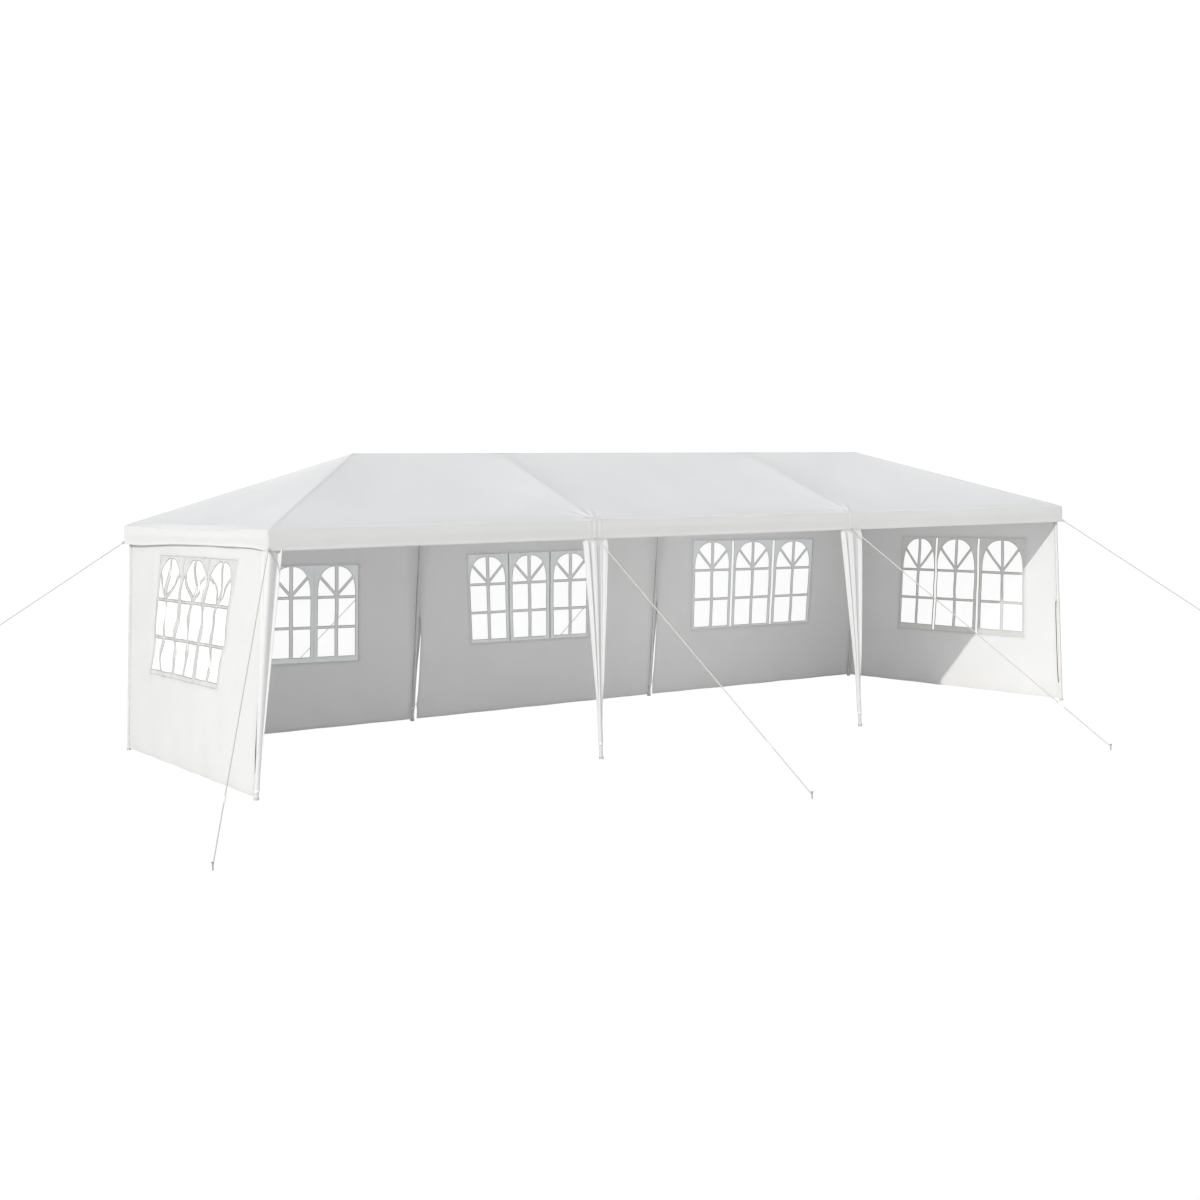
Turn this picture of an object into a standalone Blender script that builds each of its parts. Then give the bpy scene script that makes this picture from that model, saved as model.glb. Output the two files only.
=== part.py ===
"""Party marquee of three bays: tube frame, hipped cover with a valance, leg curtains,
five side walls with clear windows, and eight guy ropes on their pegs.

Metres, +Z up. The origin is on the ground in the middle of the plan, +X runs along the
ridge and -Y is the open front. Cover, curtains and guy ropes repeat themselves when the
plan is turned half round; the legs lean each in its own way.
"""
import math

import bmesh
import bpy
from mathutils import Matrix, Vector

# Plan and heights
BAY = 2.98                     # spacing of the legs along the front
LEG_X = 1.5 * BAY              # corner legs from the middle, at the eave
MID_X = 0.5 * BAY              # middle legs from the middle
LEG_Y = 1.48                   # legs from the ridge line, at the eave
COVER_OUT = 0.05               # the cover's eave beyond the legs
EAVE_Z = 2.055                 # top edge of the valance
RIDGE_Z = 2.66                 # top of the cover
RIDGE_X = 3.0                  # ends of the ridge from the middle
VALANCE_DROP = 0.167
FOOT_LEAN = {                  # each foot from the point below its leg's top: along X, along Y
    "front_left": (-0.21, -0.05),
    "front_mid_left": (-0.03, -0.125),
    "front_mid_right": (0.05, -0.11),
    "front_right": (0.01, -0.075),
    "back_left": (-0.02, 0.195),
    "back_mid_left": (-0.05, 0.19),
    "back_mid_right": (0.01, 0.26),
    "back_right": (0.04, 0.25),
}

# Sheets and gaps
FABRIC = 0.003                 # thickness of the cover, the walls and the curtains
FILM = 0.002                   # thickness of the clear windows
TOUCH = 0.0003                 # gap between pieces that touch

# Tubes
LEG_R = 0.016
RAIL_R = 0.0125
SLEEVE_R = 0.0155              # sleeves of the connectors on rails and rafters
HUB_R = 0.0175                 # round centre of each connector, which carries the cover
HUB_OVERLAP = 0.003            # how far sleeves and rails run past the connector's centre
SOCKET_R = 0.0195              # sockets of the connectors on the legs
SLEEVE_LENGTH = 0.065          # from the connector's centre to the end of its sleeves
SOCKET_LENGTH = 0.075
FOOT_R = 0.021
FOOT_HEIGHT = 0.022
LEG_JOINT_Z = 1.02             # where the two lengths of a leg plug together
JOINT_SLEEVE = 0.07
JOINT_R = 0.0178
TUBE_SIDES = 16

# Side walls
WALL_BOTTOM_Z = 0.02
WALL_SIDE_GAP = 0.030          # from a leg's centre line to the wall's edge
WALL_STEPS = 8                 # pieces that each side of a window's opening is made in
WALL_RINGS = 2                 # rings of pieces between the opening and the wall's edges

# Windows, as corners (along the wall, height): bottom left, bottom right, top right, top left,
# seen from inside. Along the back wall that is x, along the end walls y.
WINDOW_BACK_LEFT = ((-3.64, 0.65), (-2.18, 0.65), (-2.18, 1.63), (-3.64, 1.63))
WINDOW_BACK_MIDDLE = ((-0.94, 0.735), (0.54, 0.735), (0.54, 1.66), (-0.94, 1.66))
WINDOW_BACK_RIGHT = ((1.96, 0.68), (3.75, 0.68), (3.75, 1.70), (1.96, 1.70))
WINDOW_LEFT = ((-0.56, 0.75), (0.92, 0.75), (0.80, 1.80), (-0.86, 1.80))
WINDOW_RIGHT = ((-1.00, 0.63), (0.93, 0.63), (0.82, 1.73), (-1.05, 1.73))

# Leg curtains
CURTAIN_BOTTOM_Z = 0.10
CURTAIN_LAP = 0.02             # how far it reaches up behind the valance
HEM_CLEAR = 0.001              # below the hem it leans out with the leg
CURTAIN_TOP_HALF = 0.112
CURTAIN_FOOT_HALF = 0.027
CURTAIN_RETURN = 0.018         # the turned edges at its two sides
CURTAIN_CLEAR = 0.006          # inside face from the leg's surface, at the foot
CURTAIN_FOLDS = 4              # standing folds of a middle curtain
FOLDS_BELOW_HEM = 0.06         # where the folds are full
FOLD_DEPTH = 0.012
FOOT_FOLD_DEPTH = 0.004
CORNER_FOLDS = 3               # and of each side of a corner curtain
CORNER_TOP_SIDE = 0.19         # corner curtain, along the end of the tent
CORNER_TOP_FRONT = 0.13        # and along the front
CORNER_FOOT_SIDE = 0.045
CORNER_FOOT_FRONT = 0.045

# Guy ropes and pegs
ROPE_R = 0.004
KNOT_R = 0.012
ROPE_TOP_ABOVE_HEM = 0.012     # rope's centre above the valance's lower edge
RUNNER_R = 0.010               # sliding tensioner
RUNNER_LENGTH = 0.07
RUNNER_FROM_PEG = 0.60
PEG_R = 0.005
PEG_HEAD_R = 0.011
PEG_HEIGHT = 0.055
PEG_HEAD_HEIGHT = 0.008
ROPE_ON_PEG_Z = 0.030
ROPE_SIDES = 10
STAKES = {                     # one half of the plan; the other is the same turned half round
    "front_left": (-5.93, -3.66),
    "front_mid_left": (-1.43, -4.19),
    "front_mid_right": (2.10, -4.10),
    "front_right": (7.04, -2.95),
}
HALF_TURN_NAMES = {
    "front_left": "back_right",
    "front_mid_left": "back_mid_right",
    "front_mid_right": "back_mid_left",
    "front_right": "back_left",
}

# Worked out from the sizes above
HALF_LENGTH = LEG_X + COVER_OUT
HALF_WIDTH = LEG_Y + COVER_OUT
RISE = RIDGE_Z - EAVE_Z
SIDE_SLOPE = RISE / HALF_WIDTH
END_SLOPE = RISE / (HALF_LENGTH - RIDGE_X)
COVER_DROP = FABRIC * math.hypot(1.0, SIDE_SLOPE)
AXIS_DROP = (FABRIC + TOUCH + HUB_R) * math.hypot(1.0, SIDE_SLOPE)
HUB_Z = EAVE_Z + COVER_OUT * SIDE_SLOPE - AXIS_DROP
RIDGE_AXIS_Z = RIDGE_Z - AXIS_DROP
HEM_Z = EAVE_Z - VALANCE_DROP


def clear_scene():
    for old in list(bpy.data.objects):
        bpy.data.objects.remove(old, do_unlink=True)


def material(name, color, roughness, metallic=0.0, alpha=1.0):
    made = bpy.data.materials.new(name)
    made.use_nodes = True
    shader = made.node_tree.nodes["Principled BSDF"]
    shader.inputs["Base Color"].default_value = (*color, 1.0)
    shader.inputs["Roughness"].default_value = roughness
    shader.inputs["Metallic"].default_value = metallic
    shader.inputs["Alpha"].default_value = alpha
    made.diffuse_color = (*color, alpha)
    return made


def add_object(name, mesh, finish, smooth=False):
    obj = bpy.data.objects.new(name, mesh)
    bpy.context.scene.collection.objects.link(obj)
    mesh.materials.clear()
    mesh.materials.append(finish)
    if smooth:
        mesh.shade_smooth()
        mesh.set_sharp_from_angle(angle=math.radians(40))
    return obj


def mesh_from(name, shape):
    bmesh.ops.recalc_face_normals(shape, faces=shape.faces)
    mesh = bpy.data.meshes.new(name)
    shape.to_mesh(mesh)
    shape.free()
    return mesh


def loft(name, rings):
    """A closed body through rings of equally many points, with flat faces at both ends."""
    shape = bmesh.new()
    rows = [[shape.verts.new(point) for point in ring] for ring in rings]
    count = len(rows[0])
    for lower, upper in zip(rows, rows[1:]):
        for i in range(count):
            j = (i + 1) % count
            shape.faces.new((lower[i], lower[j], upper[j], upper[i]))
    shape.faces.new(rows[0])
    shape.faces.new(rows[-1])
    return mesh_from(name, shape)


def turned(name, profile, start, end, sides):
    """A turned body about the line from start to end; profile holds (distance, radius)."""
    axis = (Vector(end) - Vector(start)).normalized()
    turn = axis.to_track_quat("Z", "Y").to_matrix()
    rings = []
    for distance, radius in profile:
        centre = Vector(start) + axis * distance
        ring = []
        for i in range(sides):
            angle = 2.0 * math.pi * i / sides
            ring.append(centre + turn @ Vector((math.cos(angle) * radius, math.sin(angle) * radius, 0.0)))
        rings.append(ring)
    return loft(name, rings)


def tube(name, start, end, radius):
    length = (Vector(end) - Vector(start)).length
    return turned(name, ((0.0, radius), (length, radius)), start, end, TUBE_SIDES)


def leaning(name, profile, foot, top):
    """Level rings about a leaning line; profile holds (height, radius)."""
    foot = Vector(foot)
    top = Vector(top)
    rings = []
    for height, radius in profile:
        centre = foot.lerp(top, (height - foot.z) / (top.z - foot.z))
        ring = []
        for i in range(TUBE_SIDES):
            angle = 2.0 * math.pi * i / TUBE_SIDES
            ring.append(centre + Vector((math.cos(angle) * radius, math.sin(angle) * radius, 0.0)))
        rings.append(ring)
    return loft(name, rings)


def ball(name, centre, radius):
    shape = bmesh.new()
    bmesh.ops.create_uvsphere(shape, u_segments=TUBE_SIDES, v_segments=8, radius=radius,
                              matrix=Matrix.Translation(centre))
    return mesh_from(name, shape)


def fused(name, meshes, finish):
    """The union of several closed meshes, as one object."""
    whole = add_object(name, meshes[0], finish)
    others = []
    for i, mesh in enumerate(meshes[1:]):
        other = add_object("%s_piece_%d" % (name, i), mesh, finish)
        cut = whole.modifiers.new("union_%d" % i, "BOOLEAN")
        cut.operation = "UNION"
        cut.solver = "EXACT"
        cut.object = other
        others.append(other)
    bpy.context.view_layer.update()
    evaluated = whole.evaluated_get(bpy.context.evaluated_depsgraph_get())
    joined = bpy.data.meshes.new_from_object(evaluated)
    joined.name = name
    for old in others + [whole]:
        bpy.data.objects.remove(old, do_unlink=True)
    return add_object(name, joined, finish, smooth=True)


def plate(name, outline, depth, finish):
    """A flat sheet between an outline of points and the same outline moved by depth."""
    near = [Vector(point) for point in outline]
    far = [point + Vector(depth) for point in near]
    return add_object(name, loft(name, (near, far)), finish)


def leg_tops():
    """Where the top of each leg stands, by the name of its place."""
    rows = (("front", -1), ("back", 1))
    columns = (("left", -LEG_X), ("mid_left", -MID_X), ("mid_right", MID_X), ("right", LEG_X))
    return {"%s_%s" % (row, column): (x, side * LEG_Y) for row, side in rows for column, x in columns}


LEG_TOPS = leg_tops()


def is_corner(place):
    return "mid" not in place


def leg_line(place):
    """Foot and top of a leg's centre line."""
    x, y = LEG_TOPS[place]
    lean_x, lean_y = FOOT_LEAN[place]
    return Vector((x + lean_x, y + lean_y, 0.0)), Vector((x, y, HUB_Z))


def along_leg(place, z):
    foot, top = leg_line(place)
    return foot.lerp(top, z / HUB_Z)


def make_legs(finish):
    top_z = HUB_Z - SOCKET_LENGTH - TOUCH
    profile = (
        (0.0, FOOT_R),
        (FOOT_HEIGHT, FOOT_R),
        (FOOT_HEIGHT + 0.003, LEG_R),
        (LEG_JOINT_Z, LEG_R),
        (LEG_JOINT_Z + 0.002, JOINT_R),
        (LEG_JOINT_Z + JOINT_SLEEVE, JOINT_R),
        (LEG_JOINT_Z + JOINT_SLEEVE + 0.002, LEG_R),
        (top_z, LEG_R),
    )
    for place in LEG_TOPS:
        name = "leg_" + place
        foot, top = leg_line(place)
        add_object(name, leaning(name, profile, foot, top), finish, smooth=True)


def sleeve(name, hub, towards, radius, length):
    hub = Vector(hub)
    direction = (Vector(towards) - hub).normalized()
    return tube(name, hub - direction * HUB_OVERLAP, hub + direction * length, radius)


def socket(name, place):
    """The connector's upright socket, which the leg plugs into from below."""
    foot, top = leg_line(place)
    return leaning(name, ((HUB_Z - SOCKET_LENGTH, SOCKET_R), (HUB_Z + HUB_OVERLAP, SOCKET_R)), foot, top)


def ridge_point(x):
    return Vector((max(-RIDGE_X, min(RIDGE_X, x)), 0.0, RIDGE_AXIS_Z))


def make_long_eave_rail(row, side, finish):
    name = "eave_rail_" + row
    y = side * LEG_Y
    reach = LEG_X + HUB_OVERLAP
    pieces = [tube(name, (-reach, y, HUB_Z), (reach, y, HUB_Z), RAIL_R)]
    for place in LEG_TOPS:
        if not place.startswith(row):
            continue
        x = LEG_TOPS[place][0]
        hub = Vector((x, y, HUB_Z))
        pieces.append(ball(name, hub, HUB_R))
        pieces.append(socket(name, place))
        pieces.append(sleeve(name, hub, ridge_point(x), SLEEVE_R, SLEEVE_LENGTH))
        if is_corner(place):
            inward = hub - Vector((math.copysign(1.0, x), 0.0, 0.0))
            pieces.append(sleeve(name, hub, inward, SLEEVE_R, SLEEVE_LENGTH))
            pieces.append(sleeve(name, hub, hub - Vector((0.0, side, 0.0)), SLEEVE_R, SLEEVE_LENGTH))
        else:
            left = hub - Vector((SLEEVE_LENGTH, 0.0, 0.0))
            right = hub + Vector((SLEEVE_LENGTH, 0.0, 0.0))
            pieces.append(tube(name, left, right, SLEEVE_R))
    fused(name, pieces, finish)


def make_ridge_pole(finish):
    name = "ridge_pole"
    past = Vector((HUB_OVERLAP, 0.0, 0.0))
    pieces = [tube(name, ridge_point(-RIDGE_X) - past, ridge_point(RIDGE_X) + past, RAIL_R)]
    for x in (-LEG_X, -MID_X, MID_X, LEG_X):
        hub = ridge_point(x)
        pieces.append(ball(name, hub, HUB_R))
        for side in (-1, 1):
            pieces.append(sleeve(name, hub, (x, side * LEG_Y, HUB_Z), SLEEVE_R, SLEEVE_LENGTH))
        if abs(x) > MID_X + TOUCH:
            inward = hub - Vector((math.copysign(1.0, x), 0.0, 0.0))
            pieces.append(sleeve(name, hub, inward, SLEEVE_R, SLEEVE_LENGTH))
        else:
            left = hub - Vector((SLEEVE_LENGTH, 0.0, 0.0))
            right = hub + Vector((SLEEVE_LENGTH, 0.0, 0.0))
            pieces.append(tube(name, left, right, SLEEVE_R))
    fused(name, pieces, finish)


def make_between(name, start, end, finish):
    """A tube that butts against the sleeves of two connectors."""
    start = Vector(start)
    end = Vector(end)
    step = (end - start).normalized() * (SLEEVE_LENGTH + TOUCH)
    add_object(name, tube(name, start + step, end - step, RAIL_R), finish, smooth=True)


def make_frame(finish):
    make_legs(finish)
    make_long_eave_rail("front", -1, finish)
    make_long_eave_rail("back", 1, finish)
    make_between("eave_rail_left", (-LEG_X, -LEG_Y, HUB_Z), (-LEG_X, LEG_Y, HUB_Z), finish)
    make_between("eave_rail_right", (LEG_X, -LEG_Y, HUB_Z), (LEG_X, LEG_Y, HUB_Z), finish)
    make_ridge_pole(finish)
    for place, (x, y) in LEG_TOPS.items():
        kind = "hip_rafter_" if is_corner(place) else "mid_rafter_"
        name = kind + place.replace("mid_", "")
        make_between(name, (x, y, HUB_Z), ridge_point(x), finish)


def make_cover(finish):
    """Four sewn panels. Their thickness is measured upright, so they meet along upright cuts."""
    half_gap = 0.5 * TOUCH
    depth = (0.0, 0.0, -COVER_DROP)
    for name, side in (("cover_panel_front", -1), ("cover_panel_back", 1)):
        plan = (
            (-HALF_LENGTH + TOUCH, side * HALF_WIDTH),
            (HALF_LENGTH - TOUCH, side * HALF_WIDTH),
            (RIDGE_X - TOUCH, side * half_gap),
            (-RIDGE_X + TOUCH, side * half_gap),
        )
        outline = [(x, y, EAVE_Z + (HALF_WIDTH - abs(y)) * SIDE_SLOPE) for x, y in plan]
        plate(name, outline, depth, finish)
    for name, side in (("cover_panel_left", -1), ("cover_panel_right", 1)):
        plan = (
            (side * HALF_LENGTH, -HALF_WIDTH + half_gap),
            (side * HALF_LENGTH, HALF_WIDTH - half_gap),
            (side * (RIDGE_X + half_gap), 0.0),
        )
        outline = [(x, y, EAVE_Z + (HALF_LENGTH - abs(x)) * END_SLOPE) for x, y in plan]
        plate(name, outline, depth, finish)


def make_valance(finish):
    top = EAVE_Z - COVER_DROP - TOUCH
    for name, side in (("valance_front", -1), ("valance_back", 1)):
        y = side * HALF_WIDTH
        left, right = -HALF_LENGTH, HALF_LENGTH
        outline = ((left, y, HEM_Z), (right, y, HEM_Z), (right, y, top), (left, y, top))
        plate(name, outline, (0.0, -side * FABRIC, 0.0), finish)
    inner = HALF_WIDTH - FABRIC - TOUCH
    for name, side in (("valance_left", -1), ("valance_right", 1)):
        x = side * HALF_LENGTH
        outline = ((x, -inner, HEM_Z), (x, inner, HEM_Z), (x, inner, top), (x, -inner, top))
        plate(name, outline, (-side * FABRIC, 0.0, 0.0), finish)


def sheet_between(name, near, far, around=False):
    """A sheet between two layers of points in rows. With around, the rows are closed loops."""
    shape = bmesh.new()
    near = [[shape.verts.new(point) for point in row] for row in near]
    far = [[shape.verts.new(point) for point in row] for row in far]
    count = len(near[0])
    last = count if around else count - 1
    for r in range(len(near) - 1):
        for i in range(last):
            j = (i + 1) % count
            shape.faces.new((near[r][i], near[r][j], near[r + 1][j]))
            shape.faces.new((near[r][i], near[r + 1][j], near[r + 1][i]))
            shape.faces.new((far[r][j], far[r][i], far[r + 1][j]))
            shape.faces.new((far[r + 1][j], far[r][i], far[r + 1][i]))
        if not around:
            shape.faces.new((near[r][0], near[r + 1][0], far[r + 1][0], far[r][0]))
            shape.faces.new((near[r][-1], far[r][-1], far[r + 1][-1], near[r + 1][-1]))
    for r in (0, -1):
        for i in range(last):
            j = (i + 1) % count
            shape.faces.new((near[r][i], near[r][j], far[r][j], far[r][i]))
    return mesh_from(name, shape)


def folded_edge(start, end, outward, folds, depth):
    """Points from start to end, with standing folds that point outward between them."""
    start = Vector(start)
    steps = 2 * folds
    points = []
    for i in range(steps + 1):
        shift = Vector(outward) * (depth if i % 2 else 0.0)
        points.append(start.lerp(Vector(end), i / steps) + shift)
    return points


def middle_rows(centre_x, face_y, z, half, side, depth):
    """Outer and inner points across a middle leg's curtain; side is that of the tent."""
    back = Vector((0.0, -side * CURTAIN_RETURN, 0.0))
    inward = Vector((0.0, -side * FABRIC, 0.0))
    left = Vector((centre_x - half, face_y, z))
    right = Vector((centre_x + half, face_y, z))
    across = Vector((FABRIC, 0.0, 0.0))
    folded = folded_edge(left, right, (0.0, side, 0.0), CURTAIN_FOLDS, depth)
    inner = [point + inward for point in folded]
    inner[0] += across
    inner[-1] -= across
    return [left + back] + folded + [right + back], [left + back + across] + inner + [right + back - across]


def corner_rows(corner, z, along_end, along_front, turn, depth):
    """Outer and inner points across a corner curtain; turn is 1 at the front left, else -1."""
    corner = Vector((corner[0], corner[1], z))
    end_tip = corner + Vector((0.0, turn * along_end, 0.0))
    front_tip = corner + Vector((turn * along_front, 0.0, 0.0))
    end_in = Vector((turn * FABRIC, 0.0, 0.0))
    front_in = Vector((0.0, turn * FABRIC, 0.0))
    end_edge = folded_edge(end_tip, corner, (-turn, 0.0, 0.0), CORNER_FOLDS, depth)
    front_edge = folded_edge(corner, front_tip, (0.0, -turn, 0.0), CORNER_FOLDS, depth)
    inner = [point + end_in for point in end_edge[:-1]] + [corner + end_in + front_in]
    inner += [point + front_in for point in front_edge[1:]]
    return end_edge + front_edge[1:], inner


def curtain_levels(foot_sizes, top_sizes):
    """Height, place between foot (0) and hem (1), sizes there and depth of folds, from the foot up."""
    hem_z = HEM_Z - HEM_CLEAR
    full_z = HEM_Z - FOLDS_BELOW_HEM
    levels = []
    for z, depth in ((CURTAIN_BOTTOM_Z, FOOT_FOLD_DEPTH), (full_z, FOLD_DEPTH), (hem_z, 0.0)):
        share = (z - CURTAIN_BOTTOM_Z) / (hem_z - CURTAIN_BOTTOM_Z)
        sizes = [low + (high - low) * share for low, high in zip(foot_sizes, top_sizes)]
        levels.append((z, share, sizes, depth))
    levels.append((HEM_Z + CURTAIN_LAP, 1.0, top_sizes, 0.0))
    return levels


def make_curtains(finish):
    off_leg = LEG_R + CURTAIN_CLEAR + FABRIC
    behind_valance = HALF_WIDTH - FABRIC - TOUCH
    for place in ("front_mid_left", "front_mid_right", "back_mid_left", "back_mid_right"):
        side = math.copysign(1.0, LEG_TOPS[place][1])
        foot_y = along_leg(place, CURTAIN_BOTTOM_Z).y + side * off_leg
        rows = []
        for z, share, (half,), depth in curtain_levels((CURTAIN_FOOT_HALF,), (CURTAIN_TOP_HALF,)):
            face_y = foot_y + (side * behind_valance - foot_y) * share
            rows.append(middle_rows(along_leg(place, z).x, face_y, z, half, side, depth))
        name = "leg_curtain_" + place
        add_object(name, sheet_between(name, *zip(*rows)), finish)
    behind_end = HALF_LENGTH - FABRIC - TOUCH
    foot_sizes = (CORNER_FOOT_SIDE, CORNER_FOOT_FRONT)
    top_sizes = (CORNER_TOP_SIDE, CORNER_TOP_FRONT)
    for place, turn in (("front_left", 1.0), ("back_right", -1.0)):
        low = along_leg(place, CURTAIN_BOTTOM_Z) - Vector((turn * off_leg, turn * off_leg, 0.0))
        high = Vector((-turn * behind_end, -turn * behind_valance, 0.0))
        rows = []
        for z, share, (along_end, along_front), depth in curtain_levels(foot_sizes, top_sizes):
            rows.append(corner_rows(low.lerp(high, share), z, along_end, along_front, turn, depth))
        name = "leg_curtain_" + place
        add_object(name, sheet_between(name, *zip(*rows)), finish)


def wall_point(legs, share, z):
    """A point of the wall between two legs, share of the way from the first to the second."""
    start = along_leg(legs[0], z)
    end = along_leg(legs[1], z)
    inset = (end - start).normalized() * WALL_SIDE_GAP
    return (start + inset).lerp(end - inset, share)


def share_of(legs, along, z, axis):
    """How far along the wall, as a share, the X (axis 0) or Y (axis 1) given is reached."""
    start = wall_point(legs, 0.0, z)[axis]
    end = wall_point(legs, 1.0, z)[axis]
    return (along - start) / (end - start)


def between(first, second, share):
    return [a + (b - a) * share for a, b in zip(first, second)]


def layers(rows, normal, thickness):
    shift = Vector(normal) * (0.5 * thickness)
    near = [[point - shift for point in row] for row in rows]
    far = [[point + shift for point in row] for row in rows]
    return near, far


def make_wall(place, legs, axis, window, fabric, film):
    """One side wall between two legs, hung below the eave rail, and the film in its opening."""
    top_z = HUB_Z - SLEEVE_R - TOUCH
    outer = ((0.0, WALL_BOTTOM_Z), (1.0, WALL_BOTTOM_Z), (1.0, top_z), (0.0, top_z))
    inner = [(share_of(legs, along, z, axis), z) for along, z in window]
    loops = []
    for r in range(WALL_RINGS + 1):
        loop = []
        for i in range(4):
            j = (i + 1) % 4
            for step in range(WALL_STEPS):
                rim = between(outer[i], outer[j], step / WALL_STEPS)
                edge = between(inner[i], inner[j], step / WALL_STEPS)
                loop.append(wall_point(legs, *between(rim, edge, r / WALL_RINGS)))
        loops.append(loop)
    across = wall_point(legs, 1.0, HUB_Z) - wall_point(legs, 0.0, HUB_Z)
    up = wall_point(legs, 0.5, HUB_Z) - wall_point(legs, 0.5, 0.0)
    normal = across.cross(up).normalized()
    sheet = sheet_between("wall_" + place, *layers(loops, normal, FABRIC), around=True)
    add_object("wall_" + place, sheet, fabric)
    gap = TOUCH / across.length
    signs = ((1, 1), (-1, 1), (-1, -1), (1, -1))
    film_corners = [(u + gap * a, z + TOUCH * b) for (u, z), (a, b) in zip(inner, signs)]
    low_left, low_right, high_right, high_left = film_corners
    rows = []
    for r in range(WALL_STEPS + 1):
        left = between(low_left, high_left, r / WALL_STEPS)
        right = between(low_right, high_right, r / WALL_STEPS)
        rows.append([wall_point(legs, *between(left, right, i / WALL_STEPS)) for i in range(WALL_STEPS + 1)])
    pane = sheet_between("window_" + place, *layers(rows, normal, FILM))
    add_object("window_" + place, pane, film)


def make_walls(fabric, film):
    make_wall("back_left", ("back_left", "back_mid_left"), 0, WINDOW_BACK_LEFT, fabric, film)
    make_wall("back_middle", ("back_mid_left", "back_mid_right"), 0, WINDOW_BACK_MIDDLE, fabric, film)
    make_wall("back_right", ("back_mid_right", "back_right"), 0, WINDOW_BACK_RIGHT, fabric, film)
    make_wall("left", ("front_left", "back_left"), 1, WINDOW_LEFT, fabric, film)
    make_wall("right", ("front_right", "back_right"), 1, WINDOW_RIGHT, fabric, film)


def rope_top(place):
    """Centre of the knot that touches the valance next to a leg."""
    x, y = LEG_TOPS[place]
    z = HEM_Z + ROPE_TOP_ABOVE_HEM
    reach = KNOT_R + TOUCH
    if not is_corner(place):
        return Vector((x, math.copysign(HALF_WIDTH + reach, y), z))
    reach = reach * math.sqrt(0.5)
    return Vector((math.copysign(HALF_LENGTH + reach, x), math.copysign(HALF_WIDTH + reach, y), z))


def half_turn(mesh):
    copy = mesh.copy()
    copy.transform(Matrix.Rotation(math.pi, 4, "Z"))
    return copy


def make_rope(place, finish):
    name = "guy_rope_" + place
    top = rope_top(place)
    stake = Vector((*STAKES[place], 0.0))
    end = stake + Vector((0.0, 0.0, ROPE_ON_PEG_Z))
    length = (end - top).length
    runner = length - RUNNER_FROM_PEG
    quarter = math.sqrt(0.5) * KNOT_R
    profile = (
        (-KNOT_R, 0.3 * KNOT_R),
        (-quarter, quarter),
        (0.0, KNOT_R),
        (quarter, quarter),
        (2.0 * KNOT_R, ROPE_R),
        (runner, ROPE_R),
        (runner + 0.002, RUNNER_R),
        (runner + RUNNER_LENGTH, RUNNER_R),
        (runner + RUNNER_LENGTH + 0.002, ROPE_R),
        (length, ROPE_R),
    )
    rope = turned(name, profile, top, end, ROPE_SIDES)
    neck = PEG_HEIGHT - PEG_HEAD_HEIGHT
    peg_profile = ((0.0, PEG_R), (neck, PEG_R), (neck, PEG_HEAD_R), (PEG_HEIGHT, PEG_HEAD_R))
    peg = turned(name, peg_profile, stake, stake + Vector((0.0, 0.0, PEG_HEIGHT)), ROPE_SIDES)
    made = fused(name, [rope, peg], finish)
    turned_name = "guy_rope_" + HALF_TURN_NAMES[place]
    add_object(turned_name, half_turn(made.data), finish, smooth=True)


def make_ropes(finish):
    for place in STAKES:
        make_rope(place, finish)


def main():
    clear_scene()
    steel = material("white_steel", (0.80, 0.80, 0.79), 0.35)
    fabric = material("white_sheet", (0.86, 0.86, 0.86), 0.55)
    film = material("clear_film", (0.75, 0.80, 0.82), 0.12, alpha=0.35)
    cord = material("white_cord", (0.85, 0.85, 0.82), 0.8)
    make_frame(steel)
    make_cover(fabric)
    make_valance(fabric)
    make_curtains(fabric)
    make_walls(fabric, film)
    make_ropes(cord)


main()
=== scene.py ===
import math
from collections import namedtuple

import bpy
from mathutils import Matrix, Vector, geometry, noise


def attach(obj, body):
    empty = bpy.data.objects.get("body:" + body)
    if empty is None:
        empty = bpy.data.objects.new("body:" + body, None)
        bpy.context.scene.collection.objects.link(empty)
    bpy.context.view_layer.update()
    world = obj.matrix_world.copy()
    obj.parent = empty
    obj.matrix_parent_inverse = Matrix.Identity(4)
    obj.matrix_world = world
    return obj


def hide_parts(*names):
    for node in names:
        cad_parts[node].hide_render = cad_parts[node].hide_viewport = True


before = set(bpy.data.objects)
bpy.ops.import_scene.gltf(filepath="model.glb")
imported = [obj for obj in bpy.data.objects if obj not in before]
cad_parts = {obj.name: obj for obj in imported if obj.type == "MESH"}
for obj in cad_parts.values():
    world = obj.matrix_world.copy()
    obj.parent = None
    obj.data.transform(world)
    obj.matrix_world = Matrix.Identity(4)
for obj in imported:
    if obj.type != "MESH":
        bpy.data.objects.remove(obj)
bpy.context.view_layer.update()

# Party marquee of three bays, in metres: ground at z = 0, +X along the ridge, -Y the open front.

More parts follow.
